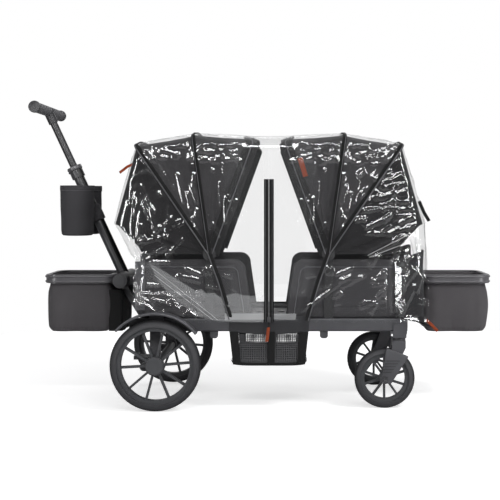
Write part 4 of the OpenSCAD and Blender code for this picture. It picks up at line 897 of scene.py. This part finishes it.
# Crease highlights: two pale strips painted as highlights along folds of the lower rear of the cover, and two
# over the front tail.
# They lie on the film, on both sides of the wagon.
painted_crease_highlight = cloth_finish("painted_crease_highlight", "#B4B5B7", "#E2E3E4", 0.0010, rough=0.35)
for tag, side in SIDES:
    for name, body, start, stop in (
            ("rear_crease_highlight_upper", "chassis", (-0.3910, 0.4770), (-0.1720, 0.3030)),
            ("rear_crease_highlight_lower", "chassis", (-0.3830, 0.4520), (-0.1870, 0.3020)),
            ("front_crease_highlight_upper", "front_frame", (0.3300, 0.5180), (0.4650, 0.5870)),
            ("front_crease_highlight_lower", "front_frame", (0.3350, 0.5120), (0.4500, 0.5560))):
        across = -side * 0.0017 * unit(np.array([stop[1] - start[1], 0, start[0] - stop[0]]))
        path = [(x, side * (FILM_HALF + 0.0030), z) for x, z in (start, stop)]
        webbing_tab(f"{name}_{tag}", path, across, painted_crease_highlight, body, 0.0008)

# Seats: two tubs that face each other, each with padded side walls, an end wall, a cushion and a backrest.
# The walls are quilted polyester over foam board with a pale piping sewn in along the edge.
seat_cloth = cloth_finish("seat_cloth", "#39383A", "#4B4A4D", 0.0013)
piping_cloth = cloth_finish("piping_cloth", "#5A5A5E", "#747478", 0.0010, rough=0.6)


def border_gap(face):
    """How far each point of a table lies from the nearest edge of the table, in metres."""
    across = np.linalg.norm(np.diff(face, axis=1), axis=2)
    along = np.linalg.norm(np.diff(face, axis=0), axis=2)
    u = np.concatenate([np.zeros((face.shape[0], 1)), np.cumsum(across, axis=1)], axis=1)
    v = np.concatenate([np.zeros((1, face.shape[1])), np.cumsum(along, axis=0)], axis=0)
    return np.minimum(np.minimum(u, u[:, -1:] - u), np.minimum(v, v[-1:] - v))


def padded_panel(name, face, away, thick, edge, dimple):
    """A sewn panel with two faces that swell from a pinched edge and dip a little along sewn lines."""
    gap = border_gap(face)
    swell = thick * np.sqrt(np.clip(1 - (1 - np.clip(gap / edge, 0, 1)) ** 2, 0, 1))
    swell -= dimple * np.exp(-((gap - 0.034) / 0.005) ** 2)
    swell = np.where(gap <= 0, 0, np.maximum(swell, 0.0004))
    front = face + np.array(away) * swell[..., None]
    back = face - np.array(away) * swell[..., None]
    table = np.concatenate([front, back[:, -2::-1]], axis=1)
    return sheet_through(name, table, face.mean(axis=(0, 1)), joined=True)


def tube_along(name, path, radius, inside, sides=9):
    """A round cord of trim along a path of points."""
    out, side = path_frame(path, inside)
    turns = np.linspace(0, 2 * math.pi, sides)
    table = np.stack([path + radius * (math.cos(t) * out + math.sin(t) * side) for t in turns])
    return sheet_through(name, table, path.mean(axis=0), joined=True)


WALL_END = 0.4305
WALL_TOP = 0.504
ROUND = 0.038
LINE_ROUND = 0.026
for end, way, body in ENDS:
    pieces = []
    for tag, side in SIDES:
        bend = np.linspace(0, math.pi / 2, 26)[1:]
        z = np.concatenate([np.linspace(0.3065, WALL_TOP - ROUND, 44),
                            WALL_TOP - ROUND + ROUND * np.sin(bend)])
        inner = np.interp(z, [0.306, 0.466], [0.055, 0.078])
        inner += np.concatenate([np.zeros(44), ROUND * (1 - np.cos(bend))])
        x = WALL_END + (inner[:, None] - WALL_END) * np.linspace(0, 1, 96)[None, :]
        face = spread(BODY_X + way * x, side * 0.2548, z[:, None])
        pieces.append(padded_panel(f"{end}_seat_wall_{tag}", face, (0, side, 0), 0.0062, 0.008, 0.0016))
        line_z = np.concatenate([np.full(40, 0.478), 0.478 - LINE_ROUND * (1 - np.cos(bend)),
                                 np.linspace(0.452, 0.309, 30)[1:]])
        line_x = np.concatenate([np.linspace(0.42, 0.130, 40), 0.130 - LINE_ROUND * np.sin(bend),
                                 np.linspace(0.104, 0.083, 30)[1:]])
        path = spread(BODY_X + way * line_x, side * 0.2611, line_z)
        pipe = tube_along(f"{end}_seat_piping_{tag}", path, 0.0016, (BODY_X + way * 0.25, 0, 0.4))
        fitted(pipe, piping_cloth, body)
    y = np.linspace(-0.2475, 0.2475, 90)[None, :]
    z = np.linspace(0.2945, 0.5035, 50)[:, None]
    face = spread(BODY_X + way * 0.4163, y, z)
    pieces.append(padded_panel(f"{end}_seat_end_wall", face, (way, 0, 0), 0.0060, 0.008, 0.0014))
    for piece in pieces:
        fitted(piece, seat_cloth, body)
        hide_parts(f"{end}_seat_walls")

# Front boot: a dark cloth wrap that closes the foot of the front seat, between its walls and the cover's end.
# It is sewn to the side walls and goes round the end in one piece, cut low where the basket arms pass.
boot_cloth = cloth_finish("boot_cloth", "#242426", "#353537", 0.0015)
BOOT_Z = 0.3075
turn = np.linspace(-math.pi / 2, 0, 16)
plan_x = np.concatenate([np.linspace(0.424, 0.495, 14)[:-1], 0.495 + 0.028 * np.cos(turn),
                         np.full(40, 0.523)])
plan_y = np.concatenate([np.full(13, -0.270), -0.242 + 0.028 * np.sin(turn), np.linspace(-0.242, 0, 41)[1:]])
plan_x = np.concatenate([plan_x, plan_x[-2::-1]])[None, :]
plan_y = np.concatenate([plan_y, -plan_y[-2::-1]])[None, :]
rim = np.interp(plan_x, [0.424, 0.523], [0.500, 0.534])
rim -= 0.128 * (1 - smooth_step(np.abs(plan_y), 0.135, 0.185))
up = np.linspace(0, 1, 40)[:, None]
sway = 0.004 * (fold_noise(plan_y * 18 + plan_x * 40 + up * 2, up * 4, 71) - 0.5)
boot = sewn_sheet("front_boot", spread(BODY_X + plan_x + sway, plan_y, BOOT_Z + up * (rim - BOOT_Z)),
                  (BODY_X + 0.4, 0, 0.4), 0.0014, boot_cloth, "front_frame")

# Cushions and backrests: foam pads in the seat cloth, each crowned and drawn in between its corners.
# Both are blown up by a cloth simulation from a slightly smaller block, then sewn across in channels.
pad_cloth = cloth_finish("pad_cloth", "#39383A", "#4B4A4C", 0.0016, on_uv=False)


def blown_pad(name, lo, hi, cap, flat_axis):
    """A stuffed pad inside a box: a rounded block, remeshed, swollen by cloth under pressure and smoothed."""
    lo, hi = np.array(lo), np.array(hi)
    size = hi - lo
    middle = (hi + lo) / 2
    level = flat_axis == 2
    bpy.ops.object.select_all(action="DESELECT")
    bpy.ops.mesh.primitive_cube_add(size=1, location=(0, 0, 0))
    pad = open_piece(name)
    slack = np.array([0.9, 0.9, 0.7] if level else [0.7, 0.9, 0.9])
    bpy.ops.transform.resize(value=tuple(size - 2 * cap * slack))
    bpy.ops.mesh.bevel(offset=float(min(size)) * 0.3, segments=4, affect="EDGES")
    bpy.ops.transform.translate(value=tuple(middle))
    bpy.ops.object.mode_set(mode="OBJECT")
    remesh = pad.modifiers.new("cells", "REMESH")
    remesh.mode = "VOXEL"
    remesh.voxel_size = 0.006
    bpy.ops.object.modifier_apply(modifier="cells")
    start = mesh_points(pad.data)
    cloth = pad.modifiers.new("swell", "CLOTH")
    cloth.settings.use_pressure = True
    cloth.settings.uniform_pressure_force = 4
    cloth.settings.effector_weights.gravity = 0
    cloth.settings.quality = 4
    for step in range(1, 21):
        scene.frame_set(step)
    bpy.ops.object.modifier_apply(modifier="swell")
    scene.frame_set(1)
    shift = mesh_points(pad.data) - start
    far = np.linalg.norm(shift, axis=1)[:, None]
    spots = np.clip(start + shift * np.minimum(1, cap / np.maximum(far, 1e-6)), lo, hi)
    along = 0 if level else 2
    share = (spots[:, along] - lo[along]) / size[along]
    seam = sum(np.exp(-((share - s) / 0.018) ** 2) for s in (0.33, 0.66))
    facing = 1 if level else -np.sign(middle[0] - BODY_X)
    up = facing * (spots[:, flat_axis] - middle[flat_axis]) / (size[flat_axis] / 2)
    spots[:, flat_axis] -= facing * 0.006 * seam * np.clip(up, 0, 1)
    pad.data.vertices.foreach_set("co", spots.ravel())
    pad.data.update()
    fine = pad.modifiers.new("fine", "SUBSURF")
    fine.levels = 1
    fine.render_levels = 1
    bpy.ops.object.modifier_apply(modifier="fine")
    bpy.ops.object.shade_smooth()
    return pad


for end, _, body in ENDS:
    for part, axis, cap in (("seat_cushion", 2, 0.010), ("backrest", 0, 0.006)):
        pad = blown_pad(f"{end}_{part}_pad", *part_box(f"{end}_{part}"), cap, axis)
        fitted(pad, pad_cloth, body)
        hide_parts(f"{end}_{part}")

# Harness: a strap of ribbed webbing down the front of each cushion, with a moulded buckle at its foot.
# The buckle has a raised push button in brown.
strap_web = cloth_finish("strap_web", "#1E1E20", "#2C2C2E", 0.0024, rough=0.7, relief=0.9)
buckle_brown = hard_finish("buckle_brown", "#4A3A33", "#5E4A40", 0.4, grain=900, relief=0.2)
for end, way, body in ENDS:
    foot = BODY_X + way * 0.1149
    z = np.linspace(0.307, 0.380, 30)[None, :]
    y = np.linspace(-0.020, 0.020, 9)[:, None]
    table = spread(foot - way * (0.0010 + 0.0006 * np.cos(y * 150)), y, z)
    strap = sewn_sheet(f"{end}_harness_strap", table, (BODY_X + way * 0.3, 0, 0.34), 0.0016,
                       strap_web, body)
    block = rounded_block(f"{end}_harness_buckle", (foot, -0.024, 0.3035), (foot - way * 0.013, 0.024, 0.337),
                          0.005, moulded_black, body)
    rounded_block(f"{end}_harness_button", (foot - way * 0.0127, -0.011, 0.312),
                  (foot - way * 0.0139, 0.011, 0.329), 0.0006, buckle_brown, body)
    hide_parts(f"{end}_harness")
    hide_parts(f"{end}_harness")

# End baskets: a moulded rim with two rounded ridges, and a bag of twill that hangs in it and bulges under it.
# The bag is gathered at its top edge, so soft folds run down from the rim, and puckers at the bottom seam.
bag_twill = cloth_finish("bag_twill", "#615E61", "#7B787B", 0.0046, twill=True, relief=1.0)
rim_grey = hard_finish("rim_grey", "#5F5E61", "#706F72", 0.30, grain=1200, relief=0.15)
dress(rim_grey, "rear_basket_rim", "front_basket_rim")


def rounded_loop(a, b, r, count):
    """Points and outward normals round an oblong with round corners, from the middle of its +X side."""
    turns = np.linspace(0, math.pi / 2, 30)
    pts = [np.array([[a, 0.0]])]
    for k, (sx, sy) in enumerate(((1, 1), (-1, 1), (-1, -1), (1, -1))):
        arc = turns + k * math.pi / 2
        pts.append(np.stack([sx * (a - r) + r * np.cos(arc), sy * (b - r) + r * np.sin(arc)], axis=1))
    loop = even_points(np.concatenate(pts + pts[:1]), count)
    ahead = np.gradient(loop, axis=0)
    ahead[0] = ahead[-1] = (0, 1)
    return loop, unit(np.stack([ahead[:, 1], -ahead[:, 0]], axis=1))


def closed_table(rows):
    """A table of points from rows that each end where they start."""
    table = np.stack(rows)
    table[:, -1] = table[:, 0]
    return table


BAG_COLS = 241
for (end, way, body), centre in zip(ENDS, (BODY_X - 0.6643, BODY_X + 0.650)):
    loop, normal = rounded_loop(0.1055, 0.1255, 0.032, BAG_COLS)
    share = np.linspace(0, 1, BAG_COLS)
    cut = 0.028 * np.exp(-(np.minimum(share, 1 - share) / 0.045) ** 4) if way < 0 else 0
    top_z = 0.4375 - cut
    rows = []
    for d in np.linspace(0, 1, 34):
        folds = fold_noise(share * 34, d * 1.6, 41) - 0.5
        soft = fold_noise(share * 13 + d * 0.6, d * 2.2, 42) - 0.5
        pucker = np.sin(share * 2 * math.pi * 46) * np.exp(-((d - 1) / 0.09) ** 2)
        bulge = 0.0085 * np.sin(math.pi * min(1, d * 1.02)) ** 0.7 * smooth_step(d, 0.10, 0.3)
        out = bulge + smooth_step(d, 0.12, 0.45) * (0.006 * folds + 0.008 * soft) + 0.0010 * pucker
        tuck = 0.010 * max(0, (d - 0.90) / 0.10) ** 2
        flat = loop + normal * (out - tuck)[:, None]
        rows.append(spread(centre + flat[:, 0], flat[:, 1], top_z + (0.2455 - top_z) * d))
    for s in 1 - np.arange(1, 15) / 14:
        floor_z = 0.2415 + 0.0040 * s ** 6 - 0.0010 * math.sin(math.pi * s)
        rows.append(spread(centre + flat[:, 0] * s, flat[:, 1] * s, floor_z))
    bag = sewn_sheet(f"{end}_basket_cloth", closed_table(rows), (centre, 0, 0.36), 0.0016,
                     bag_twill, body, joined=True)
    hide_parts(f"{end}_basket_bag")
    loop, _ = rounded_loop(0.120, 0.140, 0.045, 241)
    for part, z, radius in (("upper_ridge", 0.4365, 0.0040), ("lower_ridge", 0.4195, 0.0034)):
        path = spread(centre + loop[:, 0], loop[:, 1], z)
        if way > 0:
            path = np.roll(path[:-1], 120, axis=0)
        bead = tube_along(f"{end}_basket_{part}", path[9:-9], radius, (centre, 0, z), sides=11)
        fitted(bead, rim_grey, body)

# Rear gusset: a cloth wall that closes the rear bag towards the wagon, under the handle's knuckle, in
# near-black cloth that paints the shade there.
# It is sewn to the bag's end along both its edges and hangs as one bent sheet.
corner = np.linspace(0, math.pi / 2, 12)
plan_x = np.concatenate([np.linspace(-0.562, -0.532, 8)[:-1], -0.532 + 0.020 * np.sin(corner)])
plan_y = np.concatenate([np.full(7, -0.1200), -0.100 - 0.020 * np.cos(corner)])
plan_x = np.concatenate([plan_x, np.full(30, -0.512), plan_x[::-1]])[None, :]
plan_y = np.concatenate([plan_y, np.linspace(-0.100, 0.100, 32)[1:-1], -plan_y[::-1]])[None, :]
drop = np.linspace(0, 1, 24)[:, None]
sway = 0.003 * (fold_noise(plan_y * 40, drop * 3, 73) - 0.5)
gusset = sewn_sheet("rear_basket_gusset", spread(BODY_X + plan_x + sway, plan_y, 0.390 - drop * 0.144),
                    (BODY_X - 0.60, 0, 0.32), 0.0014, black_binding, "chassis")

# Cup caddy: two round fabric cups sewn to a sleeve that wraps the lower handle tube.
# Each cup tapers a little, with a broad turned hem and a row of stitches round the top.
caddy_cloth = cloth_finish("caddy_cloth", "#3E3D40", "#515053", 0.0016)
thread_grey = cloth_finish("thread_grey", "#707073", "#8A8A8D", 0.0008)
CUP_RADII = (0.0592, 0.0590, 0.0586, 0.0580, 0.0574, 0.0568, 0.0550, 0.0500, 0.040, 0.020, 0.0)
CUP_HEIGHTS = (0.7535, 0.735, 0.700, 0.660, 0.620, 0.596, 0.5845, 0.5795, 0.5783, 0.5780, 0.5780)
turns = np.linspace(0, 2 * math.pi, 97)


def cup_rows(cx, cy, radii, heights):
    """Rings of points round a cup's axis."""
    return closed_table([spread(cx + r * np.cos(turns), cy + r * np.sin(turns), z)
                         for r, z in zip(radii, heights)])


for tag, side in SIDES:
    cx, cy = BODY_X - 0.6783, side * 0.0805
    steps = np.linspace(0, 10, 70)
    heights = np.interp(steps, range(11), CUP_HEIGHTS)
    radii = [r + 0.0016 * (fold_noise(turns / (2 * math.pi) * 11, z * 22, 51) - 0.5) * (r > 0.045)
             for r, z in zip(np.interp(steps, range(11), CUP_RADII), heights)]
    cup = sewn_sheet(f"cup_{tag}", cup_rows(cx, cy, radii, heights), (cx, cy, 0.66), 0.0022,
                     caddy_cloth, "handle", joined=True)
    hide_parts("cup_caddy")
    for part, z0, z1, r, puff, finish in (("hem", 0.7345, 0.7545, 0.0600, 0.0006, caddy_cloth),
                                          ("stitch", 0.7362, 0.7370, 0.0604, 0.0, thread_grey)):
        table = cup_rows(cx, cy, r + puff * np.sin(np.linspace(0, math.pi, 9)), np.linspace(z0, z1, 9))
        sewn_sheet(f"cup_{part}_{tag}", table, (cx, cy, 0.745), 0.0008, finish, "handle",
                   joined=True)
loop, normal = rounded_loop(0.041, 0.0285, 0.020, 81)
rows = []
for run, inset in ((0.2285, 0.012), (0.228, 0.003), (0.230, 0.0), (0.248, -0.0006), (0.268, -0.0004),
                   (0.284, 0.0), (0.287, 0.003), (0.2865, 0.012)):
    flat = loop - normal * inset
    across = np.outer(flat[:, 0] - 0.0165, TUBE_FRONT) + np.outer(flat[:, 1], [0, 1, 0])
    rows.append(PIVOT + run * TUBE_WAY + across)
wrap = sheet_through("caddy_sleeve", closed_table(rows), PIVOT + 0.258 * TUBE_WAY, joined=True)
fitted(wrap, caddy_cloth, "handle")
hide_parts("cup_caddy")


# Caster shields: a ribbed moulded cover on the outer arm of each caster fork, over the axle bolt.
# Dark ribs cross its middle, and the bolt's round head stands out at its foot.
def turned_disc(name, radius, depth, place, dish, finish, body, lean=0.0):
    """A turned disc across the wagon, or along a line that leans back, with round rims and dished faces."""
    bpy.ops.object.select_all(action="DESELECT")
    bpy.ops.mesh.primitive_cylinder_add(vertices=64, radius=radius, depth=depth, location=(0, 0, 0))
    disc = open_piece(name)
    bpy.ops.mesh.select_mode(type="FACE")
    bpy.ops.mesh.select_all(action="DESELECT")
    bpy.ops.mesh.select_face_by_sides(number=64)
    bpy.ops.mesh.inset(thickness=radius * 0.2, depth=-dish)
    bpy.ops.mesh.select_all(action="SELECT")
    if lean:
        bpy.ops.transform.rotate(value=lean, orient_axis="Y", center_override=(0, 0, 0))
    else:
        bpy.ops.transform.rotate(value=math.pi / 2, orient_axis="X", center_override=(0, 0, 0))
    bpy.ops.transform.translate(value=place)
    bpy.ops.object.mode_set(mode="OBJECT")
    rim = disc.modifiers.new("rim", "BEVEL")
    rim.width = depth * 0.18
    rim.segments = 3
    rim.limit_method = "ANGLE"
    bpy.ops.object.modifier_apply(modifier="rim")
    bpy.ops.object.shade_smooth_by_angle(angle=math.radians(40))
    fitted(disc, finish, body)


for tag, side in SIDES:
    caster = f"caster_{tag}"
    bpy.ops.object.select_all(action="DESELECT")
    bpy.ops.mesh.primitive_cone_add(vertices=4, radius1=0.0250, radius2=0.0560, depth=0.108,
                                    location=(0, 0, 0))
    shield = open_piece(f"caster_shield_{tag}")
    bpy.ops.transform.rotate(value=math.pi / 4, orient_axis="Z", center_override=(0, 0, 0))
    bpy.ops.transform.resize(value=(1, 0.20, 1))
    bpy.ops.mesh.bevel(offset=0.0030, segments=3, affect="EDGES")
    bpy.ops.transform.rotate(value=math.radians(-21), orient_axis="Y", center_override=(0, 0, 0))
    bpy.ops.transform.translate(value=(BODY_X + 0.4130, side * 0.2715, 0.1420))
    close_piece(shield, fork_grey, caster)
    for k in range(5):
        z = 0.1640 - 0.0095 * k
        start = BODY_X + 0.3900 - 0.0020 * k
        rounded_block(f"caster_rib_{tag}_{k}", (start, side * 0.2735, z - 0.0013),
                      (start + 0.050 - 0.0050 * k, side * 0.2796, z + 0.0013), 0.0006,
                      moulded_black, caster)
    turned_disc(f"caster_bolt_{tag}", 0.0080, 0.008, (BODY_X + 0.3916, side * 0.2760, 0.1045), 0.0012,
                moulded_black, caster)

# Wheel caps: a round moulded cap snapped over each rear hub, in a dark ring.
# They turn with the wheels.
for tag, side in SIDES:
    for part, radius, out, dish, finish in (("ring", 0.0315, 0.3300, 0.0008, moulded_black),
                                            ("cap", 0.0285, 0.3325, 0.0006, rim_plastic)):
        place = (BODY_X + REAR_AXLE[0], side * out, REAR_AXLE[1])
        turned_disc(f"rear_hub_{part}_{tag}", radius, 0.006, place, dish, finish,
                    f"rear_wheel_{tag}")

# Mudguard lips: a rounded bead moulded along the outer edge of each mudguard.
# It is a part of the guard, in the same grey plastic, and ends where the guard ends.
for tag, side in SIDES:
    bpy.ops.object.select_all(action="DESELECT")
    bpy.ops.mesh.primitive_torus_add(major_segments=180, minor_segments=14, major_radius=0.1745,
                                     minor_radius=0.0042, location=(0, 0, 0))
    lip = open_piece(f"mudguard_lip_{tag}")
    bpy.ops.transform.rotate(value=math.pi / 2, orient_axis="X", center_override=(0, 0, 0))
    for angle, way in ((38, 1), (138, -1)):
        turn = math.radians(angle)
        bpy.ops.mesh.select_all(action="SELECT")
        bpy.ops.mesh.bisect(plane_co=(0, 0, 0), plane_no=(-way * math.sin(turn), 0, way * math.cos(turn)),
                            use_fill=True, clear_inner=True)
    bpy.ops.mesh.select_all(action="SELECT")
    bpy.ops.transform.translate(value=(BODY_X + REAR_AXLE[0], side * 0.3330, REAR_AXLE[1]))
    close_piece(lip, fork_grey, "chassis")

# Handle fittings: a grey clamp ring round the top of the lower tube, and a dished cap on each grip end.
# The ring is clamped on the tube, and the caps are pressed into the ends of the cross bar.
turned_disc("handle_clamp_ring", 0.0268, 0.016, tuple(PIVOT + 0.434 * TUBE_WAY), 0.0010,
            rim_grey, "handle", HANDLE_LEAN)
for tag, side in SIDES:
    turned_disc(f"grip_cap_{tag}", 0.0205, 0.016, (BODY_X - 0.7979, side * 0.2260, 1.0212), 0.0015,
                moulded_black, "handle_upper")

# Under-basket: a tub that hangs from the rails, with walls of open net on a floor of black cloth.
# A broad hem goes up over each rail, a strip runs down the middle, and a bar stiffens the bottom edge.
net_cloth, net_tree, net_skin = new_finish("net_cloth")
net_cell = shader_node(net_tree, "ShaderNodeVectorMath", {
    0: shader_node(net_tree, "ShaderNodeTexCoord").outputs["UV"], "Scale": 1 / 0.0062}, operation="SCALE")
net_part = shader_node(net_tree, "ShaderNodeVectorMath", {0: net_cell.outputs[0]}, operation="FRACTION")
net_off = shader_node(net_tree, "ShaderNodeVectorMath", {0: net_part.outputs[0], 1: (0.5, 0.5, 0)},
                      operation="SUBTRACT")
net_reach = shader_node(net_tree, "ShaderNodeVectorMath", {0: net_off.outputs[0]}, operation="LENGTH")
net_hole = shader_node(net_tree, "ShaderNodeMapRange", {
    "Value": net_reach.outputs["Value"], "From Min": 0.34, "From Max": 0.40, "To Min": 0.0, "To Max": 1.0})
net_fuzz = shader_node(net_tree, "ShaderNodeTexNoise", {
    "Vector": net_cell.outputs[0], "Scale": 0.9, "Detail": 3.0})
net_tree.links.new(net_hole.outputs[0], net_skin.inputs["Alpha"])
net_tone = two_tone(net_tree, net_fuzz.outputs["Fac"], "#29292C", "#414145")
net_tree.links.new(net_tone, net_skin.inputs["Base Color"])
net_skin.inputs["Roughness"].default_value = 0.7
tub_cloth = cloth_finish("tub_cloth", "#323234", "#404043", 0.0018)
UNDER_A, UNDER_B = 0.1335, 0.2738
share = np.linspace(0, 1, 301)
rows = []
for t in np.linspace(0, 1, 34):
    z = 0.2530 + t * (0.150 - 0.2530)
    ear = 0.007 * math.exp(-((z - 0.162) / 0.007) ** 2)
    half_length = np.interp(z, [0.155, 0.255], [0.1215, UNDER_A]) + ear
    loop, normal = rounded_loop(half_length, UNDER_B - 0.002, 0.014, 301)
    soft = fold_noise(share * 24, t * 1.5 + 16, 61) - 0.5
    flat = loop - normal * ((0.004 + 0.003 * np.abs(soft)) * math.sin(math.pi * t))[:, None]
    rows.append(spread(BODY_X + flat[:, 0], flat[:, 1], z))
net = walled_sheet("under_basket_net", closed_table(rows), (BODY_X, 0, 0.2), 0.0008, net_cloth, joined=True)
x = np.linspace(-0.1215, 0.1215, 80)[None, :]
y = np.linspace(-0.2715, 0.2715, 110)[:, None]
dip = 0.004 * (1 - (x / UNDER_A) ** 2) * (1 - (y / UNDER_B) ** 2)
dip = dip + 0.002 * fold_noise(x * 30 + y * 4, y * 22, 62)
table = spread(BODY_X + x, y, 0.1520 - dip)
base = walled_sheet("under_basket_base", table, (BODY_X, 0, 0.3), 0.0012, tub_cloth)
under_pieces = [net, base]
for tag, side in SIDES:
    x = np.linspace(-UNDER_A, UNDER_A, 90)[None, :]
    v = np.linspace(0, 1, 22)[:, None]
    low = 0.262 - 0.010 * np.cos(x / UNDER_A * math.pi / 2)
    soft = 0.0012 * (fold_noise(x * 40, v * 3, 63) - 0.3) * np.sin(math.pi * v)
    table = spread(BODY_X + x, side * (0.2740 + soft), 0.3135 + v * (low - 0.3135))
    under_pieces.append(walled_sheet(f"under_basket_hem_{tag}", table, (BODY_X, 0, 0.28), 0.0012, tub_cloth))
    for part, x0, x1 in (("strip", -0.005, 0.021), ("border_rear", -0.1330, -0.104),
                         ("border_front", 0.104, 0.1330)):
        v = np.linspace(0, 1, 40)[:, None]
        x = np.linspace(x0, x1, 9)[None, :] * (1 - 0.09 * v)
        puff = 0.0010 * np.sin(np.linspace(0, math.pi, 9))[None, :]
        table = spread(BODY_X + x, side * (0.2732 + puff), 0.262 - v * 0.108)
        under_pieces.append(walled_sheet(f"under_basket_{part}_{tag}", table, (BODY_X, 0, 0.2), 0.0012,
                                         black_binding, offset=1.0))
    reach = np.linspace(-0.117, 0.117, 60)
    path = spread(BODY_X + reach, side * 0.2665, 0.1528 + 0.004 * (np.abs(reach) / 0.117) ** 6)
    bar = tube_along(f"under_basket_bar_{tag}", path, 0.0066, (BODY_X, 0, 0.3), sides=13)
    bar.data.materials.append(black_binding)
    under_pieces.append(bar)
for piece in under_pieces:
    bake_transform(piece)
    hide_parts("under_basket")
